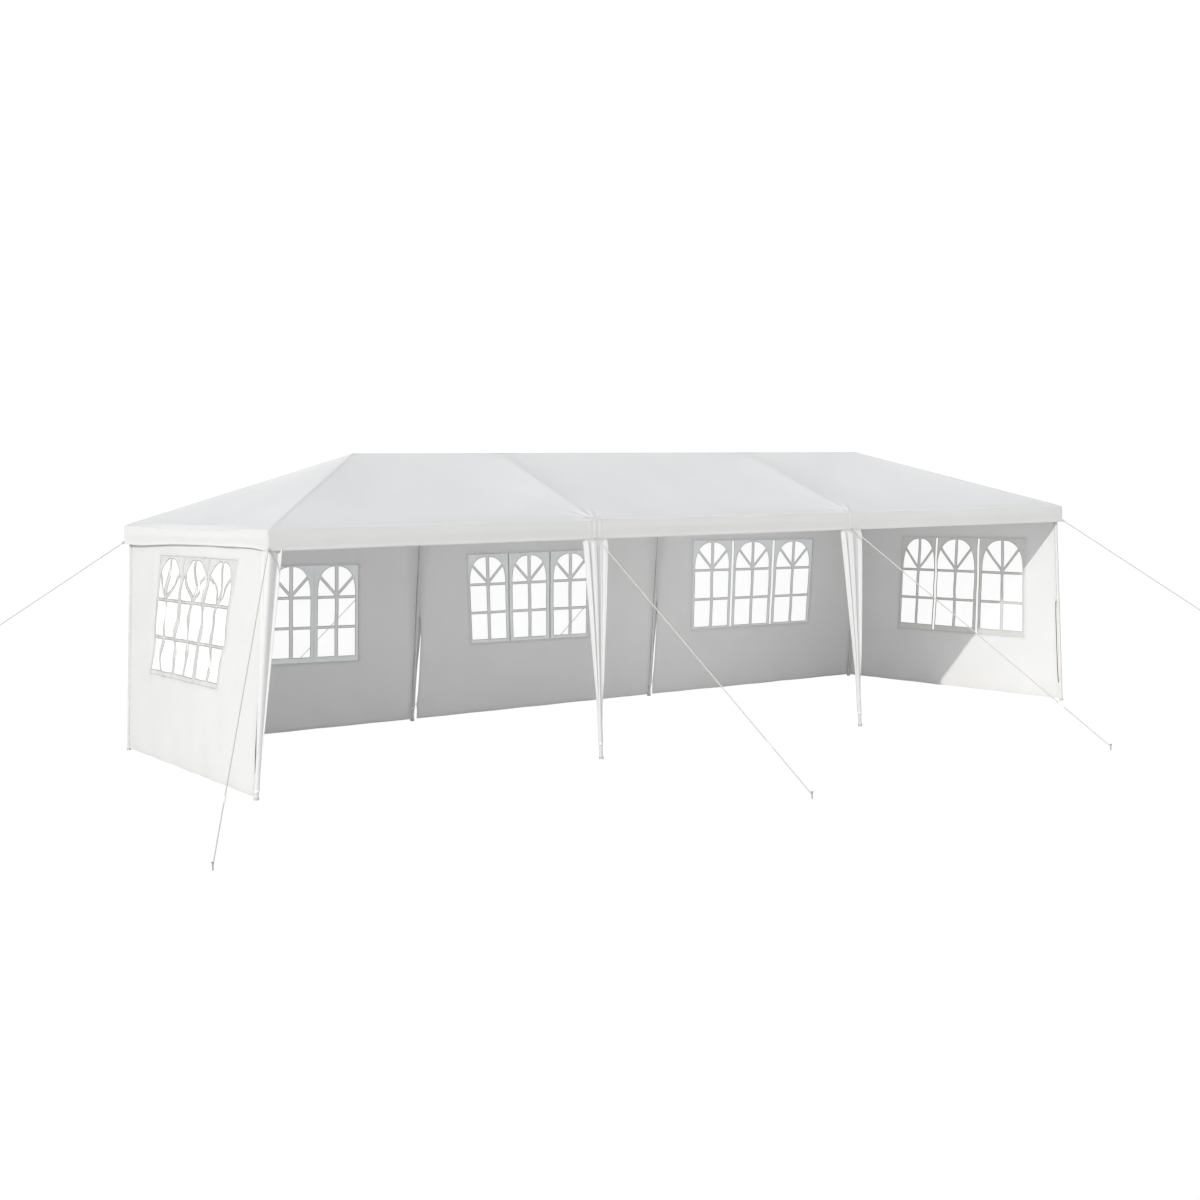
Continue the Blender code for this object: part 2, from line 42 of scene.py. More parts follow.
# Sizes of the frame
BAY = 2.98
LEG_X = 1.5 * BAY
MID_X = 0.5 * BAY
LEG_Y = 1.48
COVER_OUT = 0.05
EAVE_Z = 2.055
RIDGE_Z = 2.66
RIDGE_X = 3.0
HEM_Z = 1.888
HALF_LENGTH = LEG_X + COVER_OUT
HALF_WIDTH = LEG_Y + COVER_OUT
SIDE_SLOPE = (RIDGE_Z - EAVE_Z) / HALF_WIDTH
END_SLOPE = (RIDGE_Z - EAVE_Z) / (HALF_LENGTH - RIDGE_X)
HUB_Z = 2.0524
LEG_R = 0.016
FOOT_CAP_Z = 0.0225
RAIL_R = 0.0125
FOOT_LEAN = {
    "front_left": (-0.21, -0.05),
    "front_mid_left": (-0.03, -0.125),
    "front_mid_right": (0.05, -0.11),
    "front_right": (0.01, -0.075),
    "back_left": (-0.02, 0.195),
    "back_mid_left": (-0.05, 0.19),
    "back_mid_right": (0.01, 0.26),
    "back_right": (0.04, 0.25),
}
LEG_TOPS = {
    "%s_%s" % (row, column): (x, y)
    for row, y in (("front", -LEG_Y), ("back", LEG_Y))
    for column, x in (("left", -LEG_X), ("mid_left", -MID_X), ("mid_right", MID_X), ("right", LEG_X))
}

# Sizes of the sheets: thicknesses, then mesh sizes
CLOTH = 0.0012
VINYL = 0.0006
PRINT = 0.0004
EDGING = 0.0003
TAPE = 0.0008
WELT = 0.0010
CELL = 0.045                   # a calm sheet
FINE_CELL = 0.013              # and where it is gathered
WALL_CELL = 0.8 * CELL
FILM_CELL = 0.03
PRINT_CELL = 0.025

# Picture
CAMERA_AT = (-10.1777, -13.8893, 2.3501)
CAMERA_YAW = 35.2162           # degrees from +Y towards +X
CAMERA_PITCH = -3.7347
CAMERA_ROLL = -0.8917
FOCAL_SHARE = 1762.09 / 1200.0     # of the picture's width
SENSOR_MM = 36.0
SUN_WAY = (2.0, 1.2, -1.27)
SUN_STRENGTH = 2.43
SKY_STRENGTH = 0.66
# Soft lights, two low in the open front and one by the left end: place, aim, width and power
FILLS = {
    "fill_back": ((-1.1, -1.30, 0.25), (-0.25, 1.0, 0.05), 6.2, 21.0),
    "fill_right": ((1.6, -1.25, 0.30), (1.0, 0.45, 0.0), 1.4, 19.0),
    "fill_left": ((-8.5, -0.4, 3.2), (1.0, 0.0, -0.25), 3.0, 22.0),
}
FILL_HEIGHT = 0.3
FLOOR_SIZE = 160.0
FLOOR_Z = -0.001               # just under the feet
FLOOR_GLOW = 1.02              # what the camera sees of floor and sky
SKY_GLOW = 1.05


def smooth(value, low=0.0, high=1.0):
    share = max(0.0, min(1.0, (value - low) / (high - low)))
    return share * share * (3.0 - 2.0 * share)


def slack(share, power=3.0):
    """Nothing at both ends of the span, one in its middle."""
    return 1.0 - abs(2.0 * max(0.0, min(1.0, share)) - 1.0) ** power


def ripple(u, v, w):
    """Soft unevenness between -1 and 1, always the same at the same place."""
    return noise.noise(Vector((u, v, w)))


def along_leg(place, z):
    """A point of a leg's centre line."""
    x, y = LEG_TOPS[place]
    lean_x, lean_y = FOOT_LEAN[place]
    share = z / HUB_Z
    return Vector((x + lean_x * (1.0 - share), y + lean_y * (1.0 - share), z))


# Finishes

def shader_of(finish):
    return finish.node_tree.nodes["Principled BSDF"]


def join(finish, source, target):
    finish.node_tree.links.new(source, target)


def give(finish, socket, value):
    """Links the output of another node to the socket, or sets a plain value on it."""
    if isinstance(value, bpy.types.NodeSocket):
        join(finish, value, socket)
    else:
        socket.default_value = value


def put(finish, kind, **settings):
    node = finish.node_tree.nodes.new(kind)
    for key, value in settings.items():
        if key in node.bl_rna.properties:
            setattr(node, key, value)
        else:
            give(finish, node.inputs[key], value)
    return node


def reckon(finish, operation, *values):
    node = put(finish, "ShaderNodeMath", operation=operation)
    for socket, value in zip(node.inputs, values):
        give(finish, socket, value)
    return node.outputs["Value"]


def new_finish(name, color, roughness, metallic=0.0, alpha=1.0):
    made = bpy.data.materials.new(name)
    made.use_nodes = True
    made.diffuse_color = (*color, 1.0)
    inputs = shader_of(made).inputs
    inputs["Base Color"].default_value = (*color, 1.0)
    inputs["Roughness"].default_value = roughness
    inputs["Metallic"].default_value = metallic
    inputs["Alpha"].default_value = alpha
    return made


def sheet_coordinates(finish):
    """The flat sheet's own metres."""
    return put(finish, "ShaderNodeUVMap", uv_map="cloth").outputs["UV"]


def object_coordinates(finish):
    return put(finish, "ShaderNodeTexCoord").outputs["Object"]


def height_on_piece(finish):
    return put(finish, "ShaderNodeSeparateXYZ", Vector=object_coordinates(finish)).outputs["Z"]


def ramp(finish, share, low, first, high, second):
    """The first colour up to low, the second from high on."""
    node = put(finish, "ShaderNodeValToRGB", Fac=share)
    for stop, place, color in zip(node.color_ramp.elements, (low, high), (first, second)):
        stop.position = place
        stop.color = (*color, 1.0)
    return node.outputs["Color"]


def two_tones(finish, place, scale, first, second, low=0.35, high=0.65):
    """A soft change of colour over the surface."""
    cloud = put(finish, "ShaderNodeTexNoise", Vector=place, Scale=scale, Detail=3.0, Roughness=0.55)
    return ramp(finish, cloud.outputs["Fac"], low, first, high, second)


def mixed(finish, share, first, second):
    node = put(finish, "ShaderNodeMix", data_type="RGBA", Factor=share, A=first, B=(*second, 1.0))
    return node.outputs["Result"]


def bumps(finish, height, strength, distance, **under):
    node = put(finish, "ShaderNodeBump", Height=height, Strength=strength, Distance=distance, **under)
    return node.outputs["Normal"]


def grain(finish, place, scale, detail, strength, distance):
    """Bumps of a noise, put on the finish's own shader."""
    specks = put(finish, "ShaderNodeTexNoise", Vector=place, Scale=scale, Detail=detail)
    normal = bumps(finish, specks.outputs["Fac"], strength, distance)
    join(finish, normal, shader_of(finish).inputs["Normal"])
    return normal


def blend(finish, share, first, second, output="Material Output"):
    """Mixes two shaders and shows the mix."""
    node = put(finish, "ShaderNodeMixShader", Fac=share)
    join(finish, first, node.inputs[1])
    join(finish, second, node.inputs[2])
    join(finish, node.outputs["Shader"], finish.node_tree.nodes[output].inputs["Surface"])


def let_through(finish, color, normal, glow, alpha=1.0):
    """Light from the far side, as a share glow of the finish; a see-through finish stays so."""
    through = put(finish, "ShaderNodeBsdfTranslucent", Color=color, Normal=normal)
    blend(finish, glow * alpha, shader_of(finish).outputs["BSDF"], through.outputs["BSDF"])


WEAVE_PITCH = 0.0016
WEAVE_DEPTH = 0.00025
CREASE_DEPTH = 0.004
SPLASH_Z = 0.22                # up to here the sheets' feet are a little dirty
SOIL = (0.62, 0.58, 0.51)


def woven(finish, place):
    """Bump of a tape weave on top of soft packing creases."""
    bands = []
    for direction in ("X", "Y"):
        wave = put(finish, "ShaderNodeTexWave", wave_type="BANDS", bands_direction=direction, Vector=place,
                   Scale=math.pi / (10.0 * WEAVE_PITCH), Distortion=0.6)
        bands.append(wave.outputs["Fac"])
    soft = put(finish, "ShaderNodeTexNoise", Vector=place, Scale=2.6, Detail=4.0, Roughness=0.6)
    creases = bumps(finish, soft.outputs["Fac"], 0.6, CREASE_DEPTH)
    return bumps(finish, reckon(finish, "MULTIPLY", *bands), 0.35, WEAVE_DEPTH, Normal=creases)


def sheet_finish(name, light, dark, glow, dirt=0.0):
    """White woven sheet that lets a little light through."""
    made = new_finish(name, light, 0.52)
    inputs = shader_of(made).inputs
    inputs["Specular IOR Level"].default_value = 0.35
    place = sheet_coordinates(made)
    color = two_tones(made, place, 1.4, light, dark)
    if dirt:
        share = ramp(made, height_on_piece(made), 0.0, (dirt, dirt, dirt), SPLASH_Z, (0.0, 0.0, 0.0))
        color = mixed(made, share, color, SOIL)
    normal = woven(made, place)
    join(made, color, inputs["Base Color"])
    join(made, normal, inputs["Normal"])
    if glow:
        let_through(made, color, normal, glow)
    return made


STEEL_PAINT = (0.63, 0.625, 0.61)
STEEL_RUBBED = (0.56, 0.555, 0.54)
FOOT_CAP = (0.52, 0.51, 0.50)


def painted_steel():
    """White powder coat on thin steel tube, with rub marks and grey plastic foot caps."""
    made = new_finish("white_powder_coat", STEEL_PAINT, 0.48)
    place = object_coordinates(made)
    color = two_tones(made, place, 9.0, STEEL_PAINT, STEEL_RUBBED, low=0.45, high=0.85)
    on_cap = reckon(made, "LESS_THAN", height_on_piece(made), FOOT_CAP_Z)
    join(made, mixed(made, on_cap, color, FOOT_CAP), shader_of(made).inputs["Base Color"])
    grain(made, place, 700.0, 2.0, 0.12, 0.0002)
    return made


def clear_vinyl(name, color, haze_and_glare):
    """Soft clear film; haze_and_glare is the share of light that it doesn't let through: real haze, and on
    the sunlit window mostly painted glare of the sun.
    """
    made = new_finish(name, color, 0.12, alpha=haze_and_glare)
    shader_of(made).inputs["Specular IOR Level"].default_value = 0.5
    grain(made, sheet_coordinates(made), 7.0, 3.0, 0.4, 0.003)
    made.surface_render_method = "BLENDED"
    return made


def window_print(name, light, dark, alpha):
    """White print on the clear film, thin enough for light to come through."""
    made = new_finish(name, light, 0.45, alpha=alpha)
    place = sheet_coordinates(made)
    color = two_tones(made, place, 14.0, light, dark)
    join(made, color, shader_of(made).inputs["Base Color"])
    let_through(made, color, grain(made, place, 900.0, 1.0, 0.15, 0.0002), 0.5, alpha)
    made.surface_render_method = "BLENDED"
    return made


def braided(name, light, dark, turns, pitch):
    """Braided cord: strands that cross in a long lozenge, from the cord's own map."""
    made = new_finish(name, light, 0.75)
    place = put(made, "ShaderNodeUVMap", uv_map="cord").outputs["UV"]
    parts = put(made, "ShaderNodeSeparateXYZ", Vector=place).outputs
    length = reckon(made, "MULTIPLY", parts["Y"], 2.0 * math.pi / pitch)
    waves = []
    for sign in (1.0, -1.0):
        around = reckon(made, "MULTIPLY", parts["X"], sign * turns * 2.0 * math.pi)
        waves.append(reckon(made, "SINE", reckon(made, "ADD", around, length)))
    cross = reckon(made, "MAXIMUM", *waves)
    join(made, ramp(made, cross, 0.0, dark, 0.5, light), shader_of(made).inputs["Base Color"])
    join(made, bumps(made, cross, 0.6, 0.0008), shader_of(made).inputs["Normal"])
    return made


def moulded(name, light, dark, roughness, metallic=0.0):
    """Moulded or drawn small parts, with a fine grain."""
    made = new_finish(name, light, roughness, metallic)
    place = object_coordinates(made)
    join(made, two_tones(made, place, 30.0, light, dark), shader_of(made).inputs["Base Color"])
    grain(made, place, 500.0, 2.0, 0.2, 0.0002)
    return made


COVER_SHEET = sheet_finish("cover_sheet", (0.870, 0.872, 0.876), (0.850, 0.853, 0.858), 0.35)
VALANCE_SHEET = sheet_finish("valance_sheet", (0.880, 0.876, 0.868), (0.862, 0.857, 0.848), 0.28)
CURTAIN_SHEET = sheet_finish("curtain_sheet", (0.895, 0.895, 0.894), (0.876, 0.876, 0.874), 0.34, dirt=0.08)
WALL_SHEET = sheet_finish("wall_sheet", (0.868, 0.866, 0.860), (0.850, 0.848, 0.840), 0.31, dirt=0.06)
TAPE_SHEET = sheet_finish("tape_sheet", (0.890, 0.885, 0.870), (0.860, 0.850, 0.830), 0.0)
CLEAR_VINYL = clear_vinyl("clear_vinyl", (0.93, 0.96, 0.97), 0.06)
# Nearly opaque white film for the window in the sun: painted glare of the sun
SUNLIT_GLARE_VINYL = clear_vinyl("sunlit_glare_vinyl", (0.99, 0.99, 0.985), 0.90)
# Three prints for each kind of window: margin, bars and edge lines. The shaded and sunlit sets are retoned
# copies of the plain one: painted shade and painted sunlight.
PLAIN_PRINTS = (
    window_print("print_margin", (0.87, 0.895, 0.90), (0.84, 0.865, 0.87), 0.56),
    window_print("print_bar", (0.89, 0.90, 0.90), (0.85, 0.86, 0.86), 0.66),
    window_print("print_edge", (0.76, 0.73, 0.66), (0.72, 0.69, 0.63), 0.58),
)
# Darker, greyer copy for the window in shade: painted shade
SHADED_PRINTS = (
    window_print("shaded_margin", (0.80, 0.80, 0.77), (0.77, 0.77, 0.74), 0.74),
    window_print("shaded_bar", (0.82, 0.83, 0.82), (0.78, 0.79, 0.78), 0.76),
    window_print("shaded_edge", (0.66, 0.62, 0.55), (0.62, 0.58, 0.52), 0.64),
)
# Paler, more opaque copy with darker lines for the window in the sun: painted sunlight
SUNLIT_PRINTS = (
    window_print("sunlit_print_pale", (0.90, 0.90, 0.89), (0.87, 0.87, 0.86), 0.86),
    window_print("sunlit_print_grey", (0.86, 0.86, 0.85), (0.80, 0.80, 0.79), 0.88),
    window_print("sunlit_print_line", (0.60, 0.59, 0.57), (0.54, 0.53, 0.51), 0.76),
)
STEEL_TUBE = painted_steel()
WHITE_CORD = braided("white_braid", (0.61, 0.60, 0.575), (0.52, 0.51, 0.485), 4.0, 0.016)
# Dark brown cord in the end walls' front edges: painted shade of the slit there
GAP_SHADE_CORD = moulded("painted_gap_shade", (0.17, 0.13, 0.115), (0.12, 0.095, 0.085), 0.8)
WHITE_PLASTIC = moulded("white_plastic", (0.82, 0.82, 0.80), (0.77, 0.77, 0.75), 0.42)
ZINC = moulded("zinc_plated", (0.62, 0.62, 0.60), (0.48, 0.48, 0.46), 0.35, 0.9)


# Making pieces

CLOTH_WELD = 0.0002            # points closer than this become one
CORD_WELD = 0.00005


def pick(piece):
    if bpy.context.object and bpy.context.object.mode != "OBJECT":
        bpy.ops.object.mode_set(mode="OBJECT")
    bpy.ops.object.select_all(action="DESELECT")
    piece.select_set(True)
    bpy.context.view_layer.objects.active = piece


def apply_modifiers(piece):
    pick(piece)
    for modifier in list(piece.modifiers):
        bpy.ops.object.modifier_apply(modifier=modifier.name)


def settle(piece):
    """Puts the piece's place into its mesh."""
    pick(piece)
    bpy.ops.object.transform_apply(location=True, rotation=True, scale=True)


def stand(piece, at, axes):
    """Places a piece with its own x, y and z along the axes."""
    piece.matrix_world = Matrix.Translation(at) @ Matrix(axes).transposed().to_4x4()
    settle(piece)


def rounded(piece, degrees):
    pick(piece)
    bpy.ops.object.shade_smooth_by_angle(angle=math.radians(degrees))


def finish_piece(piece, finish, slot, *nodes):
    if finish:
        piece.data.materials.clear()
        piece.data.materials.append(finish)
    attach(piece, "root")
    if nodes:
        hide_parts(*nodes)


def joined(pieces, name):
    pick(pieces[0])
    for piece in pieces:
        piece.select_set(True)
    bpy.ops.object.join()
    whole = bpy.context.object
    whole.name = name
    whole.data.name = name
    return whole


def joined_fittings(pieces, name, finish, slot, degrees=60.0):
    whole = joined(pieces, name)
    rounded(whole, degrees)
    finish_piece(whole, finish, slot)
    return whole


def edit_mesh(piece, *steps):
    """Runs mesh steps on the whole piece."""
    pick(piece)
    bpy.ops.object.mode_set(mode="EDIT")
    bpy.ops.mesh.select_all(action="SELECT")
    for step, settings in steps:
        step(**settings)
    bpy.ops.object.mode_set(mode="OBJECT")


def mesh_piece(name, points, faces, flat, map_name, weld):
    """A piece through points, with their flat places as its map."""
    mesh = bpy.data.meshes.new(name)
    mesh.from_pydata([tuple(point) for point in points], [], faces)
    layer = mesh.uv_layers.new(name=map_name)
    for loop in mesh.loops:
        layer.data[loop.index].uv = flat[loop.vertex_index]
    piece = bpy.data.objects.new(name, mesh)
    bpy.context.scene.collection.objects.link(piece)
    edit_mesh(piece, (bpy.ops.mesh.remove_doubles, {"threshold": weld}),
              (bpy.ops.mesh.normals_make_consistent, {"inside": False}))
    return piece


def thicken(piece, thickness, offset=0.0):
    shell = piece.modifiers.new("thickness", "SOLIDIFY")
    shell.thickness = thickness
    shell.offset = offset
    shell.use_rim = True
    apply_modifiers(piece)


def sheet_piece(name, points, faces, flat, finish, slot, *nodes, thickness=CLOTH, offset=0.0, before=None):
    """A sheet through points; before is what has to be done to it while it is still thin."""
    piece = mesh_piece(name, points, faces, [tuple(spot) for spot in flat], "cloth", CLOTH_WELD)
    if before:
        before(piece)
    thicken(piece, thickness, offset)
    rounded(piece, 50.0)
    finish_piece(piece, finish, slot, *nodes)
    return piece


def grid_faces(rows, columns, around=False):
    faces = []
    for r in range(rows - 1):
        for c in range(columns if around else columns - 1):
            d = (c + 1) % columns
            faces.append((r * columns + c, r * columns + d, (r + 1) * columns + d, (r + 1) * columns + c))
    return faces


def graded(start, end, focus, fine=FINE_CELL, coarse=CELL, reach=0.45, calm=0.10):
    """Places from start to end, close together near the places in focus."""
    places = [start]
    while places[-1] < end:
        near = min(abs(places[-1] - spot) for spot in focus)
        places.append(places[-1] + fine + (coarse - fine) * smooth(near, calm, reach))
    scale = (end - start) / (places[-1] - start)
    return [start + (place - start) * scale for place in places]


def divided(loop, step=CELL, count=0):
    """The closed loop with points added, at most step apart, or count to a side."""
    result = []
    for i, start in enumerate(loop):
        end = loop[(i + 1) % len(loop)]
        parts = count or max(1, int(math.ceil((end - start).length / step)))
        result += [start.lerp(end, part / parts) for part in range(parts)]
    return result


# The roof cover: one sheet, laid over the hips and the ridge, slack between the rafters

BAY_SAG = 0.052
END_SAG = 0.030
FAN_REACH = 0.6                # folds that fan out over each middle leg
FAN_SPREAD = 0.20
FAN_LIFT = 0.0090
FAN_FOLDS = 11.0
CORNER_SHARE = 0.04            # below this the hip's edge belongs to the hipped end
SEAM_EAVE_X = MID_X
SEAM_RIDGE_X = 1.425
EAVE_ROWS = graded(0.0, HALF_WIDTH, (0.0,), fine=0.016, coarse=0.05, reach=0.5, calm=0.12)
OUTER_BAY = graded(-HALF_LENGTH, -SEAM_EAVE_X, (-SEAM_EAVE_X, -HALF_LENGTH), coarse=0.055)
MIDDLE_BAY = graded(-SEAM_EAVE_X, SEAM_EAVE_X, (-SEAM_EAVE_X, SEAM_EAVE_X), coarse=0.055)
EAVE_COLUMNS = OUTER_BAY + MIDDLE_BAY[1:] + [-x for x in OUTER_BAY[::-1]][1:]
END_COLUMNS = graded(-HALF_WIDTH, HALF_WIDTH, (-HALF_WIDTH, HALF_WIDTH), fine=0.03, coarse=0.06)


def gathers(x, y):
    """Folds that fan out from the two places on each eave where a middle leg pulls the sheet."""
    lift = 0.0
    for spot in (-MID_X, MID_X):
        dx = x - spot
        dy = HALF_WIDTH - abs(y)
        reach = math.hypot(dx, dy)
        if reach > FAN_REACH:
            continue
        turn = math.atan2(dy, dx)
        fan = math.cos(FAN_FOLDS * turn + 1.3 * ripple(turn * 2.0, spot, y))
        lift += FAN_LIFT * fan * smooth(reach, 0.0, 0.06) * math.exp(-((reach / FAN_SPREAD) ** 2))
    return lift


def side_height(x, y):
    """Height of the cover on its long slopes."""
    up = max(0.0, min(1.0, (LEG_Y - abs(y)) / LEG_Y))
    hip = LEG_X - (LEG_X - RIDGE_X) * up
    if abs(x) <= MID_X:
        share = (x + MID_X) / (2.0 * MID_X)
    elif x < 0.0:
        share = (x + hip) / max(0.01, hip - MID_X)
    else:
        share = (x - MID_X) / max(0.01, hip - MID_X)
    hang = BAY_SAG * (4.0 * up * (1.0 - up)) ** 0.7 * slack(share)
    z = EAVE_Z + (HALF_WIDTH - abs(y)) * SIDE_SLOPE - hang
    z += 0.0035 * ripple(x * 1.7, y * 2.4, 1.0) * slack(share) * smooth(up, 0.0, 0.1) * (1 - up)
    drop = smooth(abs(y), LEG_Y, HALF_WIDTH)
    z -= drop * (0.004 + 0.004 * ripple(x * 2.3, math.copysign(3.0, y), 0.0))
    return z + gathers(x, y)


def end_height(x, y):
    """Height of the cover on its two hipped ends."""
    up = max(0.0, min(1.0, (LEG_X - abs(x)) / (LEG_X - RIDGE_X)))
    half = max(0.01, LEG_Y * (1.0 - up))
    across = min(1.0, abs(y) / half)
    hang = END_SAG * (4.0 * up * (1.0 - up)) ** 0.7 * (1.0 - across ** 2.6)
    z = EAVE_Z + (HALF_LENGTH - abs(x)) * END_SLOPE - hang
    drop = smooth(abs(x), LEG_X, HALF_LENGTH)
    wave = 0.003 * ripple(y * 3.0, math.copysign(5.0, x), 0.0)
    return z - drop * ((0.026 * math.cos(0.5 * math.pi * y / HALF_WIDTH) ** 2) + wave + 0.003)


def cover_height(x, y):
    """The cover's height anywhere: the lower of the long slope and the hipped end."""
    if (HALF_LENGTH - abs(x)) * END_SLOPE < (HALF_WIDTH - abs(y)) * SIDE_SLOPE:
        return end_height(x, y)
    return side_height(x, y)


def side_plan(x, share):
    """Where an eave column has got to, share of the way up the long slope."""
    hip = HALF_LENGTH - (HALF_LENGTH - RIDGE_X) * share
    seam = SEAM_EAVE_X + (SEAM_RIDGE_X - SEAM_EAVE_X) * share
    if abs(x) <= SEAM_EAVE_X:
        return x * seam / SEAM_EAVE_X
    part = (abs(x) - SEAM_EAVE_X) / (HALF_LENGTH - SEAM_EAVE_X)
    return math.copysign(seam + (hip - seam) * part, x)


def face_up(sheet):
    if sum(face.normal.z for face in sheet.data.polygons) < 0.0:
        edit_mesh(sheet, (bpy.ops.mesh.flip_normals, {}))


def make_cover():
    points, flat, faces = [], [], []
    slant = math.hypot(1.0, SIDE_SLOPE)
    for long_slope, columns, limit in ((True, EAVE_COLUMNS, HALF_LENGTH), (False, END_COLUMNS, HALF_WIDTH)):
        for side in (-1.0, 1.0):
            first = len(points)
            for out in EAVE_ROWS:
                share = out / HALF_WIDTH
                for column in columns:
                    if long_slope:
                        x, y = side_plan(column, share), side * (HALF_WIDTH - out)
                    else:
                        x = side * (HALF_LENGTH - (HALF_LENGTH - RIDGE_X) * share)
                        y = column * (1.0 - share)
                    on_end = share < CORNER_SHARE if abs(column) == limit else not long_slope
                    z = end_height(x, y) if on_end else side_height(x, y)
                    points.append(Vector((x, y, z)))
                    flat.append((x, y * slant) if long_slope else (y, x * slant))
            faces += [tuple(first + i for i in face) for face in grid_faces(len(EAVE_ROWS), len(columns))]
    return sheet_piece("roof_cover", points, faces, flat, COVER_SHEET, "cover", "cover_panel_front",
                       "cover_panel_back", "cover_panel_left", "cover_panel_right", offset=-1.0,
                       before=face_up)


SEAM_SHARES = (-0.5, -0.38, -0.12, 0.12, 0.38, 0.5)
SEAM_WIDTH = 0.030
SEAM_RISE = 0.0009
SEAM_STEPS = 60


def seam_tape(name, start, end, height):
    """A strip sewn over a seam of the cover, from the eave up to the ridge."""
    start, end = Vector(start), Vector(end)
    way = (end - start).normalized()
    across = Vector((way.y, -way.x))
    points, flat = [], []
    for i in range(SEAM_STEPS + 1):
        middle = start.lerp(end, 0.012 + 0.976 * i / SEAM_STEPS)
        for share in SEAM_SHARES:
            spot = middle + across * (share * SEAM_WIDTH)
            lift = SEAM_RISE * (0.35 if abs(share) > 0.45 else 1.0)
            points.append(Vector((spot.x, spot.y, height(spot.x, spot.y) + lift)))
            flat.append((share * SEAM_WIDTH, (spot - start).length))
    faces = grid_faces(SEAM_STEPS + 1, len(SEAM_SHARES))
    return sheet_piece(name, points, faces, flat, COVER_SHEET, "cover", thickness=TAPE)


def make_cover_tapes():
    tapes = []
    for x in (-1.0, 1.0):
        for y in (-1.0, 1.0):
            corner = (x * HALF_LENGTH, y * HALF_WIDTH)
            tapes.append(seam_tape("cover_hip_tape", corner, (x * RIDGE_X, 0.0), cover_height))
            foot = (x * SEAM_EAVE_X, y * HALF_WIDTH)
            tapes.append(seam_tape("cover_seam_tape", foot, (x * SEAM_RIDGE_X, 0.0), side_height))
    whole = joined(tapes, "cover_tapes")
    finish_piece(whole, COVER_SHEET, "cover")
    return whole


# The valance: a strip sewn to the cover's edge all the way round, its sides counted from the front

VALANCE_ROWS = (0.0, 0.03, 0.10, 0.20, 0.32, 0.44, 0.56, 0.68, 0.80, 0.875, 0.89, 0.95, 1.0)
VALANCE_DROP = 0.167
SIDE_HALVES = (HALF_LENGTH, HALF_WIDTH, HALF_LENGTH, HALF_WIDTH)
STAND_OFF = 0.0012             # from the cover's edge
SEAM_OFF = 0.0002              # and along the seam, which lies a little lower
SEAM_DROP = 0.0006


def valance_offset(side, along, down):
    """How far the strip stands out from its plane."""
    out = 0.0035 * math.sin(math.pi * down) + 0.0035 * ripple(along * 1.9, down * 0.8, side)
    out += 0.0022 * math.exp(-(((down - 0.45) / 0.10) ** 2))
    out += 0.0012 * ripple(along * 9.0, down * 2.0, side + 7.0)
    out += 0.0009 if down > 0.88 else 0.0
    if side in (0, 2):
        for spot in (-MID_X, MID_X):
            near = abs(along - spot)
            if near < 0.3:
                fold = math.cos(2.0 * math.pi * (along - spot) / 0.052)
                out += 0.0035 * fold * math.exp(-((near / 0.075) ** 2)) * (1.0 - 0.55 * down)
    return out


def hem_height(side, along):
    """Height of the valance's lower edge."""
    z = HEM_Z + 0.0025 * ripple(along * 1.3, side * 4.0, 2.0)
    back = (along + HALF_WIDTH) / (2.0 * HALF_WIDTH)
    if side == 1:
        z += 0.012 * slack(back)
    if side == 3:
        z += 0.020 * smooth(back, 0.0, 0.12) * (1.0 - smooth(back, 0.55, 0.85))
        z -= 0.010 * slack(back, 4.0) * smooth(back, 0.75, 0.92)
    return z


def eave_loop():
    """Every column round the eave: its side, place along it, top, way out and whether it is a corner."""
    corner_z = end_height(HALF_LENGTH, HALF_WIDTH)
    loop = []
    for side, columns in enumerate((EAVE_COLUMNS, END_COLUMNS, EAVE_COLUMNS[::-1], END_COLUMNS[::-1])):
        way = -1.0 if side in (0, 3) else 1.0
        for along in columns:
            at_corner = abs(abs(along) - SIDE_HALVES[side]) < 1e-6
            if side in (0, 2):
                y = way * HALF_WIDTH
                top = Vector((along, y, corner_z if at_corner else side_height(along, y)))
                out = Vector((math.copysign(1.0, along) if at_corner else 0.0, way, 0.0))
            elif at_corner:
                continue
            else:
                x = way * HALF_LENGTH
                top = Vector((x, along, end_height(x, along)))
                out = Vector((way, 0.0, 0.0))
            loop.append((side, along, top, out, at_corner))
    return loop


def make_valance():
    loop = eave_loop()
    points, flat = [], []
    for down in VALANCE_ROWS:
        run = 0.0
        for i, (side, along, top, out, at_corner) in enumerate(loop):
            if i:
                run += (top - loop[i - 1][2]).length
            bottom = HEM_Z if at_corner else hem_height(side, along)
            z = top.z + (bottom - top.z) * down
            calm = slack((along / SIDE_HALVES[side] + 1.0) / 2.0, 40.0)
            off = STAND_OFF + (valance_offset(side, along, down) - STAND_OFF) * calm
            if down == 0.0:
                off = SEAM_OFF
                z -= SEAM_DROP
            points.append(Vector((top.x, top.y, 0.0)) + out * off + Vector((0.0, 0.0, z)))
            flat.append((run, -down * VALANCE_DROP))
    faces = grid_faces(len(VALANCE_ROWS), len(loop), True)
    return sheet_piece("valance", points, faces, flat, VALANCE_SHEET, "cover", "valance_front",
                       "valance_back", "valance_left", "valance_right", offset=-1.0)


# Leg curtains: gathered strips that hang from the valance and are tied round the foot

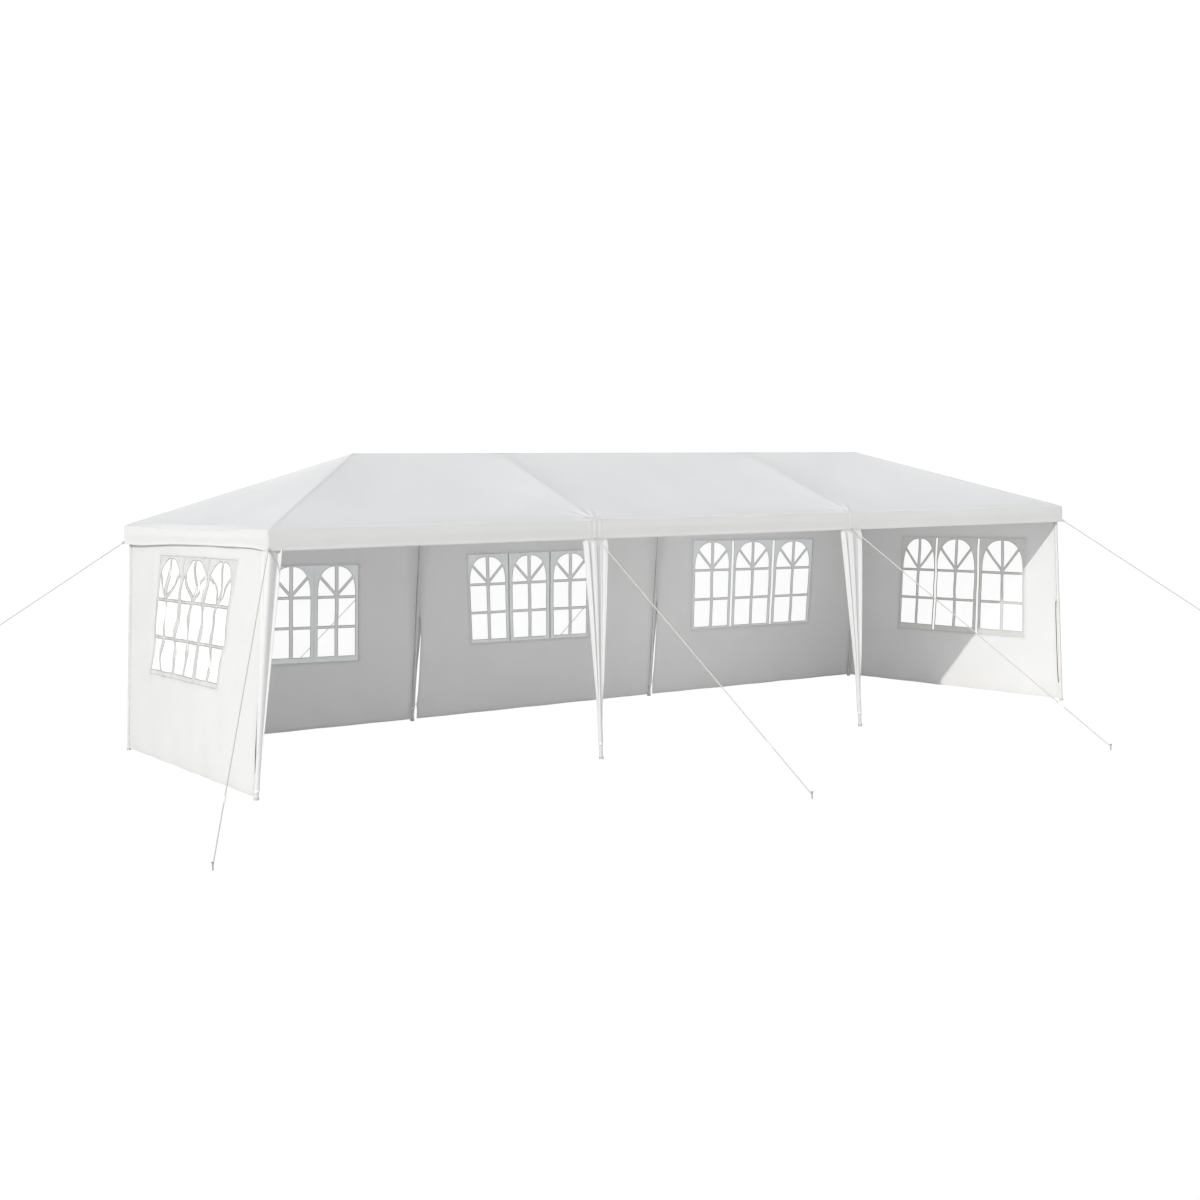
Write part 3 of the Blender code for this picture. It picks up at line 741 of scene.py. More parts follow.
CURTAIN_BOTTOM_Z = 0.12
CORNER_BOTTOM_Z = 0.055
CURTAIN_TOP_Z = HEM_Z + 0.02
OFF_LEG = 0.0195
BEHIND = 0.0033
WRAP_TURN = 2.35               # how far round the leg each side goes at the foot, in radians
CURTAIN_COLUMNS = 73
WING_COLUMNS = 40
FOLDS = 1.75                   # standing folds to each side of a middle curtain, and the finer ones
FINE_FOLDS = 4.3
WING_FOLDS = 1.6
CORNER_BEND = 0.022            # where a corner curtain turns from one side to the other
FOLD_SEEDS = {
    "front_mid_left": 549.08,
    "front_mid_right": 549.43,
    "back_mid_left": 3.1,
    "back_mid_right": 5.6,
}
CORNER_TURNS = {"front_left": 1.0, "back_right": -1.0}


def curtain_rows(bottom):
    """Heights from the top down, each with its share of the way up."""
    steps = graded(0.0, CURTAIN_TOP_Z - bottom, (0.05,), fine=0.012, coarse=0.035, reach=0.4, calm=0.08)
    heights = [CURTAIN_TOP_Z - step for step in steps]
    return [(z, max(0.0, min(1.0, (z - bottom) / (HEM_Z - bottom)))) for z in heights]


def fold_depth(z):
    """How deep the standing folds are at a height."""
    if z > HEM_Z - 0.001:
        return 0.0
    return smooth(HEM_Z - z, 0.0, 0.07) * (0.0015 + 0.0150 * smooth(z, CURTAIN_BOTTOM_Z, 1.3))


def curtain_half(z):
    """Half the gathered width of a middle curtain."""
    return 0.0235 + 0.0365 * (z - 0.16) + 0.0365 * max(0.0, z - 0.58)


def curtain_piece(place, points, columns, flat):
    name = "leg_curtain_" + place
    faces = grid_faces(len(points) // columns, columns)
    return sheet_piece(name + "_cloth", points, faces, flat, CURTAIN_SHEET, "cover", name)


def make_middle_curtain(place):
    side = math.copysign(1.0, LEG_TOPS[place][1])
    seed = FOLD_SEEDS[place]
    points, flat = [], []
    foot_y = along_leg(place, CURTAIN_BOTTOM_Z).y + side * OFF_LEG
    top_y = side * (HALF_WIDTH - BEHIND)
    for z, up in curtain_rows(CURTAIN_BOTTOM_Z):
        axis = along_leg(place, z)
        face = foot_y + (top_y - foot_y) * up
        half = curtain_half(z)
        depth = fold_depth(z)
        wrap = 1.0 - smooth(up, 0.0, 0.35)
        drift = 0.8 * ripple(z * 0.9, seed, 0.0)
        for c in range(CURTAIN_COLUMNS):
            across = 2.0 * c / (CURTAIN_COLUMNS - 1) - 1.0
            bent = across + 0.22 * math.sin(2.3 * across + seed) + 0.04 * drift
            fold = (0.5 + 0.5 * math.cos(2.0 * math.pi * FOLDS * bent + drift)) ** 1.4
            fine = 0.5 + 0.5 * math.cos(2.0 * math.pi * FINE_FOLDS * across + 2.0 * drift + seed)
            out = depth * (fold + 0.16 * fine) - 0.020 * smooth(abs(across), 0.86, 1.0)
            x = half * across - 0.014 * up * side
            radius = OFF_LEG + 0.5 * depth * fold
            x += (radius * math.sin(WRAP_TURN * across) - x) * wrap
            out += (radius * math.cos(WRAP_TURN * across) - OFF_LEG - out) * wrap
            points.append(Vector((axis.x + x, face + side * out, z)))
            flat.append((across * 0.28, z))
    return curtain_piece(place, points, CURTAIN_COLUMNS, flat)


def make_corner_curtain(place):
    """Two wings that meet at the corner; the turn is 1 at the front left one and -1 at the back right."""
    turn = CORNER_TURNS[place]
    seed = sum(ord(letter) for letter in place) * 0.21
    outward = Vector((-1.0, -1.0)).normalized()
    points, flat = [], []
    low_axis = along_leg(place, CORNER_BOTTOM_Z)
    low = Vector((low_axis.x - turn * OFF_LEG, low_axis.y - turn * OFF_LEG))
    high = Vector((-turn * (HALF_LENGTH - BEHIND), -turn * (HALF_WIDTH - BEHIND)))
    for z, up in curtain_rows(CORNER_BOTTOM_Z):
        corner = low.lerp(high, up)
        axis = along_leg(place, z)
        end_length = 0.032 + 0.022 * (z - 0.1) + 0.100 * max(0.0, z - 1.2)
        front_length = 0.032 + 0.046 * (z - 0.1)
        depth = fold_depth(z)
        wrap = 1.0 - smooth(up, 0.0, 0.30)
        drift = 0.5 * ripple(z * 1.2, seed, 3.0)
        for c in range(-WING_COLUMNS, WING_COLUMNS + 1):
            share = abs(c) / WING_COLUMNS
            reach = share * (end_length if c < 0 else front_length)
            soften = 0.5 * max(0.0, CORNER_BEND - reach) ** 2 / CORNER_BEND
            if c < 0:
                fold = 0.5 - 0.5 * math.cos(2.0 * math.pi * WING_FOLDS * share + drift)
                out = 0.45 * depth * fold - 0.010 * smooth(share, 0.88, 1.0)
                place_x, place_y = soften - out, reach
            else:
                back = 0.20 * reach * smooth(share, 0.1, 0.75) * (1.0 - smooth(share, 0.72, 0.90))
                roll = 0.010 * up * smooth(share, 0.76, 0.86) * (1.0 - smooth(share, 0.90, 1.0))
                place_x, place_y = reach, soften + back - roll + 0.012 * smooth(share, 0.92, 1.0)
            around = -WRAP_TURN * c / WING_COLUMNS
            bent = Vector((outward.x * math.cos(around) + outward.y * math.sin(around),
                           outward.y * math.cos(around) - outward.x * math.sin(around)))
            hung = Vector((corner.x + turn * place_x, corner.y + turn * place_y))
            tied = Vector((axis.x, axis.y)) + bent * (turn * (OFF_LEG + 0.3 * depth))
            points.append(Vector((*hung.lerp(tied, wrap), z)))
            flat.append((c / WING_COLUMNS * 0.2, z))
    return curtain_piece(place, points, 2 * WING_COLUMNS + 1, flat)


# Side walls. Gap is the wall's opening beside its first leg, between the lower two ties.

Wall = namedtuple("Wall", "first second axis rail gap seed")
WALLS = {
    "back_left": Wall("back_left", "back_mid_left", 0, "eave_rail_back", 0.030, 3.0),
    "back_middle": Wall("back_mid_left", "back_mid_right", 0, "eave_rail_back", 0.056, 4.0),
    "back_right": Wall("back_mid_right", "back_right", 0, "eave_rail_back", 0.048, 5.0),
    "left": Wall("front_left", "back_left", 1, "eave_rail_left", 0.072, 1.0),
    "right": Wall("front_right", "back_right", 1, "eave_rail_right", 0.040, 2.0),
}
WALL_TOP_Z = HUB_Z - 0.0158
WALL_BOTTOM_Z = 0.02
WALL_HEIGHT = WALL_TOP_Z - WALL_BOTTOM_Z
TIE_HEIGHTS = (0.17, 1.09, 1.86)
CLOSED_GAP = 0.0185            # a wall's edge from a leg's centre line, where it is tied
OVER_RAIL = 0.018              # how far the upper part of a wall is pushed out by its rail
EDGE_WAVE = 0.46               # between two waves up a wall's side edge, and along its foot
FOOT_WAVE = 0.63
# Corners of the windows as places along the wall and heights, from the low left one round
WINDOWS = {
    "back_left": ((-3.62, 0.693), (-2.16, 0.656), (-2.17, 1.615), (-3.63, 1.655)),
    "back_middle": ((-0.87, 0.740), (0.62, 0.716), (0.58, 1.667), (-0.95, 1.668)),
    "back_right": ((2.04, 0.706), (3.80, 0.686), (3.77, 1.687), (1.985, 1.722)),
    "left": ((-0.56, 0.75), (1.04, 0.75), (0.74, 1.81), (-0.94, 1.81)),
    "right": ((-1.06, 0.63), (0.875, 0.63), (0.765, 1.71), (-1.07, 1.71)),
}
# Arched units as shares of the window's width; heights of pane foot, lower bar, upper bar and arch
# top as shares of its height; clear stripes between units
LAYOUTS = {
    "back_left": (((0.030, 0.307), (0.362, 0.639), (0.694, 0.971)), (0.065, 0.363, 0.669, 0.980), ()),
    "back_middle": (((0.015, 0.295), (0.353, 0.633), (0.698, 0.978)), (0.048, 0.346, 0.659, 0.961), ()),
    "back_right": (((0.020, 0.292), (0.350, 0.629), (0.691, 0.974)), (0.032, 0.339, 0.663, 0.969),
                   (0.321, 0.660)),
    "left": (((0.020, 0.313), (0.353, 0.647), (0.687, 0.980)), (0.048, 0.324, 0.633, 0.970), ()),
    "right": (((0.019, 0.334), (0.395, 0.690), (0.718, 0.979)), (0.066, 0.346, 0.644, 0.971),
              (0.3645, 0.7035)),
}
FILMS = {"left": SUNLIT_GLARE_VINYL}     # the window in the sun gets a nearly opaque white film: painted glare of the sun
# The window in the sun and the window in shade take the retoned prints: painted sunlight and painted shade
PRINTS = {"left": SUNLIT_PRINTS, "right": SHADED_PRINTS}
UPRIGHT_BAR = 0.040
LEVEL_BAR = 0.028
SLANT_BAR = 0.030
SLANT_TURN = math.radians(46)
ARCH_STEPS = 32
ARCH_POWER = 0.80              # under 1 makes the arch fuller than an ellipse
ARCH_SHARE = 0.97              # of the arch that has the bars' tone
EDGE_LINE = 0.007
SEAM_LINE = 0.003
WIDE_SEAMS = {"back_middle": 0.009}
SEAM_MARGIN = 0.010            # where a seam ends, from the window's edge
CLEAR_STRIPE = 0.029
STRIPE_MARGIN = 0.015
BORDER_IN = 0.009
PRINT_LIFT = VINYL + PRINT
EDGING_LIFT = 0.5 * PRINT + 0.00035
WELT_IN = 0.006                # how far the tape laps over the film and over the wall
WELT_OUT = 0.014
WELT_LIFT = 0.5 * CLOTH + 0.0011
WALL_HEM = 0.024
HEM_IN = 0.0005
HEM_LIFT = 0.5 * CLOTH + 0.0008


def edge_gap(z, open_gap):
    """Distance of a wall's side edge from the leg's centre line; it opens between the lower two ties."""
    low, high = TIE_HEIGHTS[:2]
    if z > high:
        return CLOSED_GAP + 0.002 * math.sin(6.0 * z)
    if z > low:
        middle = 0.55 + 0.45 * slack((z - low) / (high - low), 4.0)
        return CLOSED_GAP + (open_gap - CLOSED_GAP) * middle * smooth(high - z, 0.0, 0.05)
    return CLOSED_GAP + (open_gap - CLOSED_GAP) * (0.55 + 0.25 * smooth(low - z, 0.0, 0.06))


def wall_edges(wall, z):
    start = along_leg(WALLS[wall].first, z)
    end = along_leg(WALLS[wall].second, z)
    way = (end - start).normalized()
    return start + way * edge_gap(z, WALLS[wall].gap), end - way * (CLOSED_GAP + 0.002 * math.sin(6.0 * z))


def wall_normal(wall):
    first, second = WALLS[wall][:2]
    across = along_leg(second, HUB_Z) - along_leg(first, HUB_Z)
    tops = along_leg(first, HUB_Z) + along_leg(second, HUB_Z)
    feet = along_leg(first, 0.0) + along_leg(second, 0.0)
    normal = across.cross(tops - feet).normalized()
    outward = {"left": Vector((-1, 0, 0)), "right": Vector((1, 0, 0))}.get(wall, Vector((0, 1, 0)))
    return normal if normal.dot(outward) > 0.0 else -normal


WALL_NORMALS = {wall: wall_normal(wall) for wall in WALLS}


def share_along(wall, along, z):
    """How far a place is along the wall, as a share of the wall's width at that height."""
    first, second = wall_edges(wall, z)
    axis = WALLS[wall].axis
    return (along - first[axis]) / (second[axis] - first[axis])


def window_place(wall, along, z):
    """Shares across and up the window, below 0 or over 1 outside it."""
    (ax, az), (bx, _), (cx, _), (dx, dz) = WINDOWS[wall]
    up = (z - az) / (dz - az)
    left = ax + (dx - ax) * up
    right = bx + (cx - bx) * up
    return (along - left) / (right - left), up


def swell(along, z, *waves):
    """Soft waves added up; each is its depth, how close it is along and up, and its seed."""
    return sum(depth * ripple(along * u, z * v, seed) for depth, u, v, seed in waves)


def wall_wave(wall, along, z):
    """How far the sheet stands out from the flat."""
    seed = WALLS[wall].seed
    share = share_along(wall, along, z)
    inside = slack(share, 6.0)
    out = inside * swell(along, z, (0.010, 0.9, 0.8, seed), (0.005, 2.6, 1.3, seed + 20.0),
                         (0.0025, 6.0, 2.6, seed + 40.0))
    by_edge = math.exp(-((min(share, 1.0 - share) * 9.0) ** 2))
    out += 0.004 * math.cos(2.0 * math.pi * z / EDGE_WAVE) * by_edge * inside
    if wall == "left":
        out += OVER_RAIL * slack(share, 3.0) * smooth(z, 1.0, 1.75) * (1.0 - smooth(z, 1.93, 2.03))
    sway = math.sin(2.0 * math.pi * along / FOOT_WAVE + seed)
    out += 0.006 * (1.0 - smooth(z, 0.02, 0.35)) * sway * inside
    p, q = window_place(wall, along, z)
    if -0.15 < p < 1.15 and -0.15 < q < 1.15:
        fade = smooth(min(p, 1.0 - p, q, 1.0 - q), -0.10, 0.22)
        if wall == "left":
            out += fade * swell(along, z, (0.045, 4.6, 3.0, 61.0), (0.026, 9.5, 5.5, 71.0))
        else:
            depth = 0.020 if wall == "right" else 0.009
            out += fade * depth * swell(along, z, (1.0, 3.4, 2.8, seed + 60.0), (0.3, 9.0, 6.0, seed + 80.0))
    return out


def wall_point(wall, along, z, lift=0.0):
    """A point of the hung sheet, lift outward of it."""
    first, second = wall_edges(wall, z)
    hung = first.lerp(second, share_along(wall, along, z))
    return hung + WALL_NORMALS[wall] * (wall_wave(wall, along, z) + lift)


def box(x0, x1, y0, y1):
    return [Vector((x0, y0)), Vector((x1, y0)), Vector((x1, y1)), Vector((x0, y1))]


def is_inside(spot, loop):
    odd = False
    for i, start in enumerate(loop):
        end = loop[(i + 1) % len(loop)]
        if (start.y > spot.y) != (end.y > spot.y):
            if spot.x < start.x + (end.x - start.x) * (spot.y - start.y) / (end.y - start.y):
                odd = not odd
    return odd


def cut_sheet(outline, holes, cell):
    """Triangles that fill the outline around the holes, all of them on the flat."""
    points, edges = [], []
    for loop in [outline] + holes:
        rim = divided(loop, cell)
        first = len(points)
        points += rim
        edges += [(first + i, first + (i + 1) % len(rim)) for i in range(len(rim))]
    low_x, high_x = min(point.x for point in points), max(point.x for point in points)
    low_y, high_y = min(point.y for point in points), max(point.y for point in points)
    columns = max(1, int(round((high_x - low_x) / cell)))
    levels = max(1, int(round((high_y - low_y) / cell)))
    rim_cells = {}
    for point in points:
        rim_cells.setdefault((int(point.x / cell), int(point.y / cell)), []).append(point)

    def crowded(spot):
        i, j = int(spot.x / cell), int(spot.y / cell)
        near = [rim_cells.get((i + a, j + b), ()) for a in (-1, 0, 1) for b in (-1, 0, 1)]
        return any((other - spot).length < 0.55 * cell for others in near for other in others)

    for i in range(1, columns):
        for j in range(1, levels):
            spot = Vector((low_x + (high_x - low_x) * i / columns, low_y + (high_y - low_y) * j / levels))
            if not crowded(spot):
                points.append(spot)
    found, _, faces, _, _, _ = geometry.delaunay_2d_cdt(points, edges, [], 0, 1e-6)
    boxes = []
    for hole in holes:
        xs, ys = [point.x for point in hole], [point.y for point in hole]
        boxes.append((min(xs), max(xs), min(ys), max(ys), hole))

    def in_hole(spot):
        return any(a < spot.x < b and c < spot.y < d and is_inside(spot, loop) for a, b, c, d, loop in boxes)

    kept = []
    for face in faces:
        centre = sum((found[i] for i in face), Vector((0.0, 0.0))) / len(face)
        if is_inside(centre, outline) and not in_hole(centre):
            kept.append(tuple(face))
    return found, kept


def clipped(polygon, point, normal):
    """The part of a polygon on the side of a line that the normal points to."""
    result = []
    for i, start in enumerate(polygon):
        end = polygon[(i + 1) % len(polygon)]
        a = (start - point).dot(normal)
        b = (end - point).dot(normal)
        if a >= 0.0:
            result.append(start)
        if (a >= 0.0) != (b >= 0.0):
            result.append(start.lerp(end, a / (a - b)))
    return result


def cleaned(polygon):
    """The polygon turning left, without points that lie together; nothing if it is too small."""
    loop = []
    for point in polygon:
        if not loop or (point - loop[-1]).length > 0.002:
            loop.append(point)
    if (loop[0] - loop[-1]).length < 0.002:
        loop.pop()
    area = 0.5 * sum(a.cross(b) for a, b in zip(loop, loop[1:] + loop[:1]))
    if area < 0.0:
        loop.reverse()
    return loop if abs(area) > 1e-4 else None


def outset(loop, amount):
    """The loop moved outward by amount, corner by corner; the loop turns left."""
    result = []
    for i, point in enumerate(loop):
        before = (point - loop[i - 1]).normalized()
        after = (loop[(i + 1) % len(loop)] - point).normalized()
        first = Vector((before.y, -before.x))
        second = Vector((after.y, -after.x))
        middle = first + second
        if middle.length < 1e-6:
            middle = first
        middle.normalize()
        result.append(point + middle * (amount / max(0.5, middle.dot(first))))
    return result


def window_size(wall):
    (ax, az), (bx, bz), (cx, cz), (dx, dz) = WINDOWS[wall]
    return 0.5 * ((bx - ax) + (cx - dx)), 0.5 * ((dz - az) + (cz - bz))


def layout_of(wall):
    """The window's units, levels and clear stripes in metres on the flat."""
    width, height = window_size(wall)
    units, levels, stripes = LAYOUTS[wall]
    spans = [(left * width, right * width) for left, right in units]
    return spans, [level * height for level in levels], [share * width for share in stripes]


def panes_of(wall):
    """Outlines of the see-through panes on the flat window."""
    spans, (foot, lower, upper, top), stripes = layout_of(wall)
    panes = []
    for x0, x1 in spans:
        middle = 0.5 * (x0 + x1)
        for a, b in ((x0, middle - 0.5 * UPRIGHT_BAR), (middle + 0.5 * UPRIGHT_BAR, x1)):
            panes.append(box(a, b, foot, lower - 0.5 * LEVEL_BAR))
            panes.append(box(a, b, lower + 0.5 * LEVEL_BAR, upper - 0.5 * LEVEL_BAR))
        arch = []
        for i in range(ARCH_STEPS + 1):
            turn = math.pi * i / ARCH_STEPS
            level = math.cos(turn)
            x = middle + 0.5 * (x1 - x0) * math.copysign(abs(level) ** ARCH_POWER, level)
            arch.append(Vector((x, upper + (top - upper) * max(0.0, math.sin(turn)) ** ARCH_POWER)))
        centre = Vector((middle, upper + 0.5 * LEVEL_BAR))
        arch = clipped(arch, centre, Vector((0.0, 1.0)))
        for side in (-1.0, 1.0):
            outward = Vector((side, 0.0))
            over = Vector((-side * math.sin(SLANT_TURN), math.cos(SLANT_TURN)))
            beside = clipped(arch, centre, outward)
            panes.append(clipped(beside, centre - over * (0.5 * SLANT_BAR), -over))
            above = clipped(beside, centre + over * (0.5 * SLANT_BAR), over)
            panes.append(clipped(above, centre + outward * (0.5 * UPRIGHT_BAR), outward))
    high = window_size(wall)[1] - STRIPE_MARGIN
    for x in stripes:
        panes.append(box(x - 0.5 * CLEAR_STRIPE, x + 0.5 * CLEAR_STRIPE, STRIPE_MARGIN, high))
    return [pane for pane in map(cleaned, panes) if pane]


def on_window(wall, spot):
    """Where a point of the flat window is along the wall, and its height."""
    width, height = window_size(wall)
    low_left, low_right, high_right, high_left = [Vector(corner) for corner in WINDOWS[wall]]
    low = low_left.lerp(low_right, spot[0] / width)
    high = high_left.lerp(high_right, spot[0] / width)
    return low.lerp(high, spot[1] / height)


def lay_on_window(wall, name, spots, faces, lift, finish, *nodes, thickness=PRINT, before=None):
    """Lays flat window shapes on the hung wall."""
    points = [wall_point(wall, *on_window(wall, spot), lift) for spot in spots]
    return sheet_piece(name, points, faces, spots, finish, "window", *nodes, thickness=thickness,
                       before=before)


def two_prints(wall, margin, bar):
    """The step that gives a window's print one tone in its arched units and another around them."""
    spans, (foot, _, upper, top), _ = layout_of(wall)

    def is_bar(u, v):
        for x0, x1 in spans:
            if x0 < u < x1 and foot < v <= upper:
                return True
            if x0 < u < x1 and v > upper:
                across = abs((u - 0.5 * (x0 + x1)) / (0.5 * (x1 - x0)))
                up = (v - upper) / (top - upper)
                if across ** (2.0 / ARCH_POWER) + up ** (2.0 / ARCH_POWER) < ARCH_SHARE:
                    return True
        return False

    def give_prints(piece):
        piece.data.materials.append(margin)
        piece.data.materials.append(bar)
        layer = piece.data.uv_layers["cloth"].data
        for face in piece.data.polygons:
            spots = [layer[i].uv for i in face.loop_indices]
            u = sum(spot[0] for spot in spots) / len(spots)
            v = sum(spot[1] for spot in spots) / len(spots)
            face.material_index = 1 if is_bar(u, v) else 0

    return give_prints


def make_window(wall):
    """The film, its print, and the print's edge lines on both faces."""
    width, height = window_size(wall)
    outline = box(0.0, width, 0.0, height)
    spots, faces = cut_sheet(outline, [], FILM_CELL)
    film = lay_on_window(wall, "window_%s_film" % wall, spots, faces, 0.0, FILMS.get(wall, CLEAR_VINYL),
                         "window_" + wall, thickness=VINYL)
    margin, bar, edge = PRINTS.get(wall, PLAIN_PRINTS)
    panes = panes_of(wall)
    spots, faces = cut_sheet(outline, panes, PRINT_CELL)
    lattice = lay_on_window(wall, "window_%s_print" % wall, spots, faces, PRINT_LIFT, None,
                            before=two_prints(wall, margin, bar))
    points, faces = [], []
    for pane in panes + [outset(outline, -BORDER_IN)]:
        loop = divided(pane, FILM_CELL)
        first = len(points)
        points += loop + outset(loop, EDGE_LINE)
        faces += [tuple(first + i for i in face) for face in grid_faces(2, len(loop), True)]
    spans, _, stripes = layout_of(wall)
    seam = WIDE_SEAMS.get(wall, SEAM_LINE)
    for before, after in zip(spans, spans[1:]):
        middle = 0.5 * (before[1] + after[0])
        if any(abs(middle - x) < 0.02 for x in stripes):
            continue
        first = len(points)
        for i in range(33):
            z = SEAM_MARGIN + (height - 2.0 * SEAM_MARGIN) * i / 32
            points += [Vector((middle - seam, z)), Vector((middle + seam, z))]
        faces += [tuple(first + i for i in face) for face in grid_faces(33, 2)]
    edging = []
    for face, side in (("in", -1.0), ("out", 1.0)):
        edging.append(lay_on_window(wall, "window_%s_edging_%s" % (wall, face), points, faces,
                                    PRINT_LIFT + side * EDGING_LIFT, edge, thickness=EDGING))
    return film, lattice, edging


def make_wall(wall):
    """The hung sheet with its opening, cut from one flat piece, and the width of that piece."""
    axis = WALLS[wall].axis
    first, second = wall_edges(wall, WALL_BOTTOM_Z)
    width = abs(second[axis] - first[axis])
    hole = []
    for spot in divided([Vector(corner) for corner in WINDOWS[wall]], count=20):
        hole.append(Vector((share_along(wall, *spot) * width, spot.y)))
    spots, faces = cut_sheet(box(0.0, width, WALL_BOTTOM_Z, WALL_TOP_Z), [hole], WALL_CELL)
    points = []
    for spot in spots:
        first, second = wall_edges(wall, spot.y)
        along = first[axis] + (second[axis] - first[axis]) * spot.x / width
        points.append(wall_point(wall, along, spot.y))
    sheet = sheet_piece("wall_%s_cloth" % wall, points, faces, spots, WALL_SHEET, "wall", "wall_" + wall)
    return sheet, width


def wall_strips(wall, name, start, end, around, lift, thickness):
    """A strip from one line of (along, z) to another, once on each face of the sheet."""
    flat = start + end
    made = []
    for face, side in (("in", -1.0), ("out", 1.0)):
        points = [wall_point(wall, *spot, side * lift) for spot in flat]
        made.append(sheet_piece("%s_%s" % (name, face), points, grid_faces(2, len(start), around), flat,
                                WALL_SHEET, "wall", thickness=thickness))
    return made


def make_welt(wall):
    """White tape sewn round the window, on both faces of the sheet."""
    rim = divided([Vector(corner) for corner in WINDOWS[wall]], count=24)
    return wall_strips(wall, "window_%s_tape" % wall, outset(rim, -WELT_IN), outset(rim, WELT_OUT), True,
                       WELT_LIFT, WELT)


def make_wall_hem(wall):
    """The turned and sewn edge along the bottom and both sides."""
    axis = WALLS[wall].axis

    def edge_spot(end, z, inward):
        edges = wall_edges(wall, z)
        here, other = edges[end][axis], edges[1 - end][axis]
        return Vector((here + math.copysign(inward, other - here), z))

    heights = [WALL_TOP_Z - WALL_HEIGHT * i / 48 for i in range(49)]
    lines = []
    for inward, lowest in ((HEM_IN, WALL_BOTTOM_Z), (WALL_HEM, WALL_BOTTOM_Z + WALL_HEM)):
        down = [edge_spot(0, max(z, lowest), inward) for z in heights]
        up = [edge_spot(1, max(z, lowest), inward) for z in heights[::-1]]
        lines.append(down + [down[-1].lerp(up[0], i / 64) for i in range(1, 64)] + up)
    return wall_strips(wall, "wall_%s_hem" % wall, *lines, False, HEM_LIFT, TAPE)


# Guy ropes

ROPE_R = 0.0048
ROPE_END_Z = 0.030             # on the peg
ROPE_STEPS = 40
SLIDER_BACK = 0.565            # from the rope's end
SLIDER_SIZE = (0.017, 0.011, 0.068)
SLIDER_HOLES = (-0.024, 0.0, 0.024)
KNOT_R = 0.012
LOOP_R = 0.0078                # of the knot's turns, each with its shift along the rope and its tilt
LOOP_TILT = 0.0035
KNOT_LOOPS = ((0.0, 0.5), (0.006, -0.7), (-0.005, 0.1))
STAKES = {
    "front_left": (-5.93, -3.66),
    "front_mid_left": (-1.43, -4.19),
    "front_mid_right": (2.10, -4.10),
    "front_right": (7.04, -2.95),
    "back_right": (5.93, 3.66),
    "back_mid_right": (1.43, 4.19),
    "back_mid_left": (-2.10, 4.10),
    "back_left": (-7.04, 2.95),
}


def rope_top(place):
    x, y = LEG_TOPS[place]
    z = HEM_Z + 0.012
    reach = KNOT_R + 0.0003
    if "mid" in place:
        return Vector((x, math.copysign(HALF_WIDTH + reach, y), z))
    reach = reach * math.sqrt(0.5)
    return Vector((math.copysign(HALF_LENGTH + reach, x), math.copysign(HALF_WIDTH + reach, y), z))


def cord_piece(name, path, radius, sides=12):
    """A round cord through points, with its own map of turn and length, closed at both ends."""
    points, flat = [], []
    run = 0.0
    side = None
    for i, point in enumerate(path):
        ahead = path[min(i + 1, len(path) - 1)] - path[max(i - 1, 0)]
        ahead.normalize()
        if side is None:
            side = ahead.orthogonal().normalized()
        side = (side - ahead * side.dot(ahead)).normalized()
        over = ahead.cross(side)
        if i:
            run += (point - path[i - 1]).length
        for j in range(sides + 1):
            turn = 2.0 * math.pi * j / sides
            points.append(point + side * (radius * math.cos(turn)) + over * (radius * math.sin(turn)))
            flat.append((j / sides, run))
    last = (len(path) - 1) * (sides + 1)
    caps = [tuple(range(sides, 0, -1)), tuple(last + j for j in range(sides))]
    piece = mesh_piece(name, points, grid_faces(len(path), sides + 1) + caps, flat, "cord", CORD_WELD)
    rounded(piece, 60.0)
    return piece


def make_rope(place):
    """A taut rope with its knot, from the valance's hem to its peg, and its slider and peg."""
    top = rope_top(place)
    stake = Vector((*STAKES[place], 0.0))
    end = stake + Vector((0.0, 0.0, ROPE_END_Z))
    way = (end - top).normalized()
    level = Vector((way.y, -way.x, 0.0)).normalized()
    up = way.cross(level)
    length = (end - top).length
    line = [top + way * (length * i / ROPE_STEPS) for i in range(ROPE_STEPS + 1)]
    cords = [cord_piece("guy_rope_%s_line" % place, line, ROPE_R)]
    for shift, tilt in KNOT_LOOPS:
        ring = []
        for i in range(21):
            angle = 2.0 * math.pi * i / 20
            ring.append(top + way * (shift + LOOP_TILT * math.sin(angle + tilt))
                        + level * (LOOP_R * math.cos(angle)) + up * (LOOP_R * math.sin(angle)))
        cords.append(cord_piece("knot", ring, ROPE_R * 0.95, 8))
    whole = joined(cords, "guy_rope_%s_cord" % place)
    finish_piece(whole, WHITE_CORD, "rope", "guy_rope_" + place)
    make_slider(place, top + way * (length - SLIDER_BACK), (level, up, way))
    make_peg(place, stake)


def make_slider(place, at, axes):
    """Moulded slider: a rounded bar with three holes, threaded on the rope."""
    bpy.ops.mesh.primitive_cube_add(size=1.0)
    bar = bpy.context.object
    bar.name = "guy_rope_%s_slider" % place
    bar.scale = SLIDER_SIZE
    settle(bar)
    bevel = bar.modifiers.new("round", "BEVEL")
    bevel.width = 0.0042
    bevel.segments = 3
    apply_modifiers(bar)
    for shift in SLIDER_HOLES:
        bpy.ops.mesh.primitive_cylinder_add(vertices=16, radius=ROPE_R, depth=0.03,
                                            location=(0.0, 0.0, shift), rotation=(math.pi / 2, 0.0, 0.0))
        drill = bpy.context.object
        cut = bar.modifiers.new("hole", "BOOLEAN")
        cut.operation = "DIFFERENCE"
        cut.object = drill
        apply_modifiers(bar)
        bpy.data.objects.remove(drill, do_unlink=True)
    stand(bar, at, axes)
    rounded(bar, 35.0)
    finish_piece(bar, WHITE_PLASTIC, "rope")


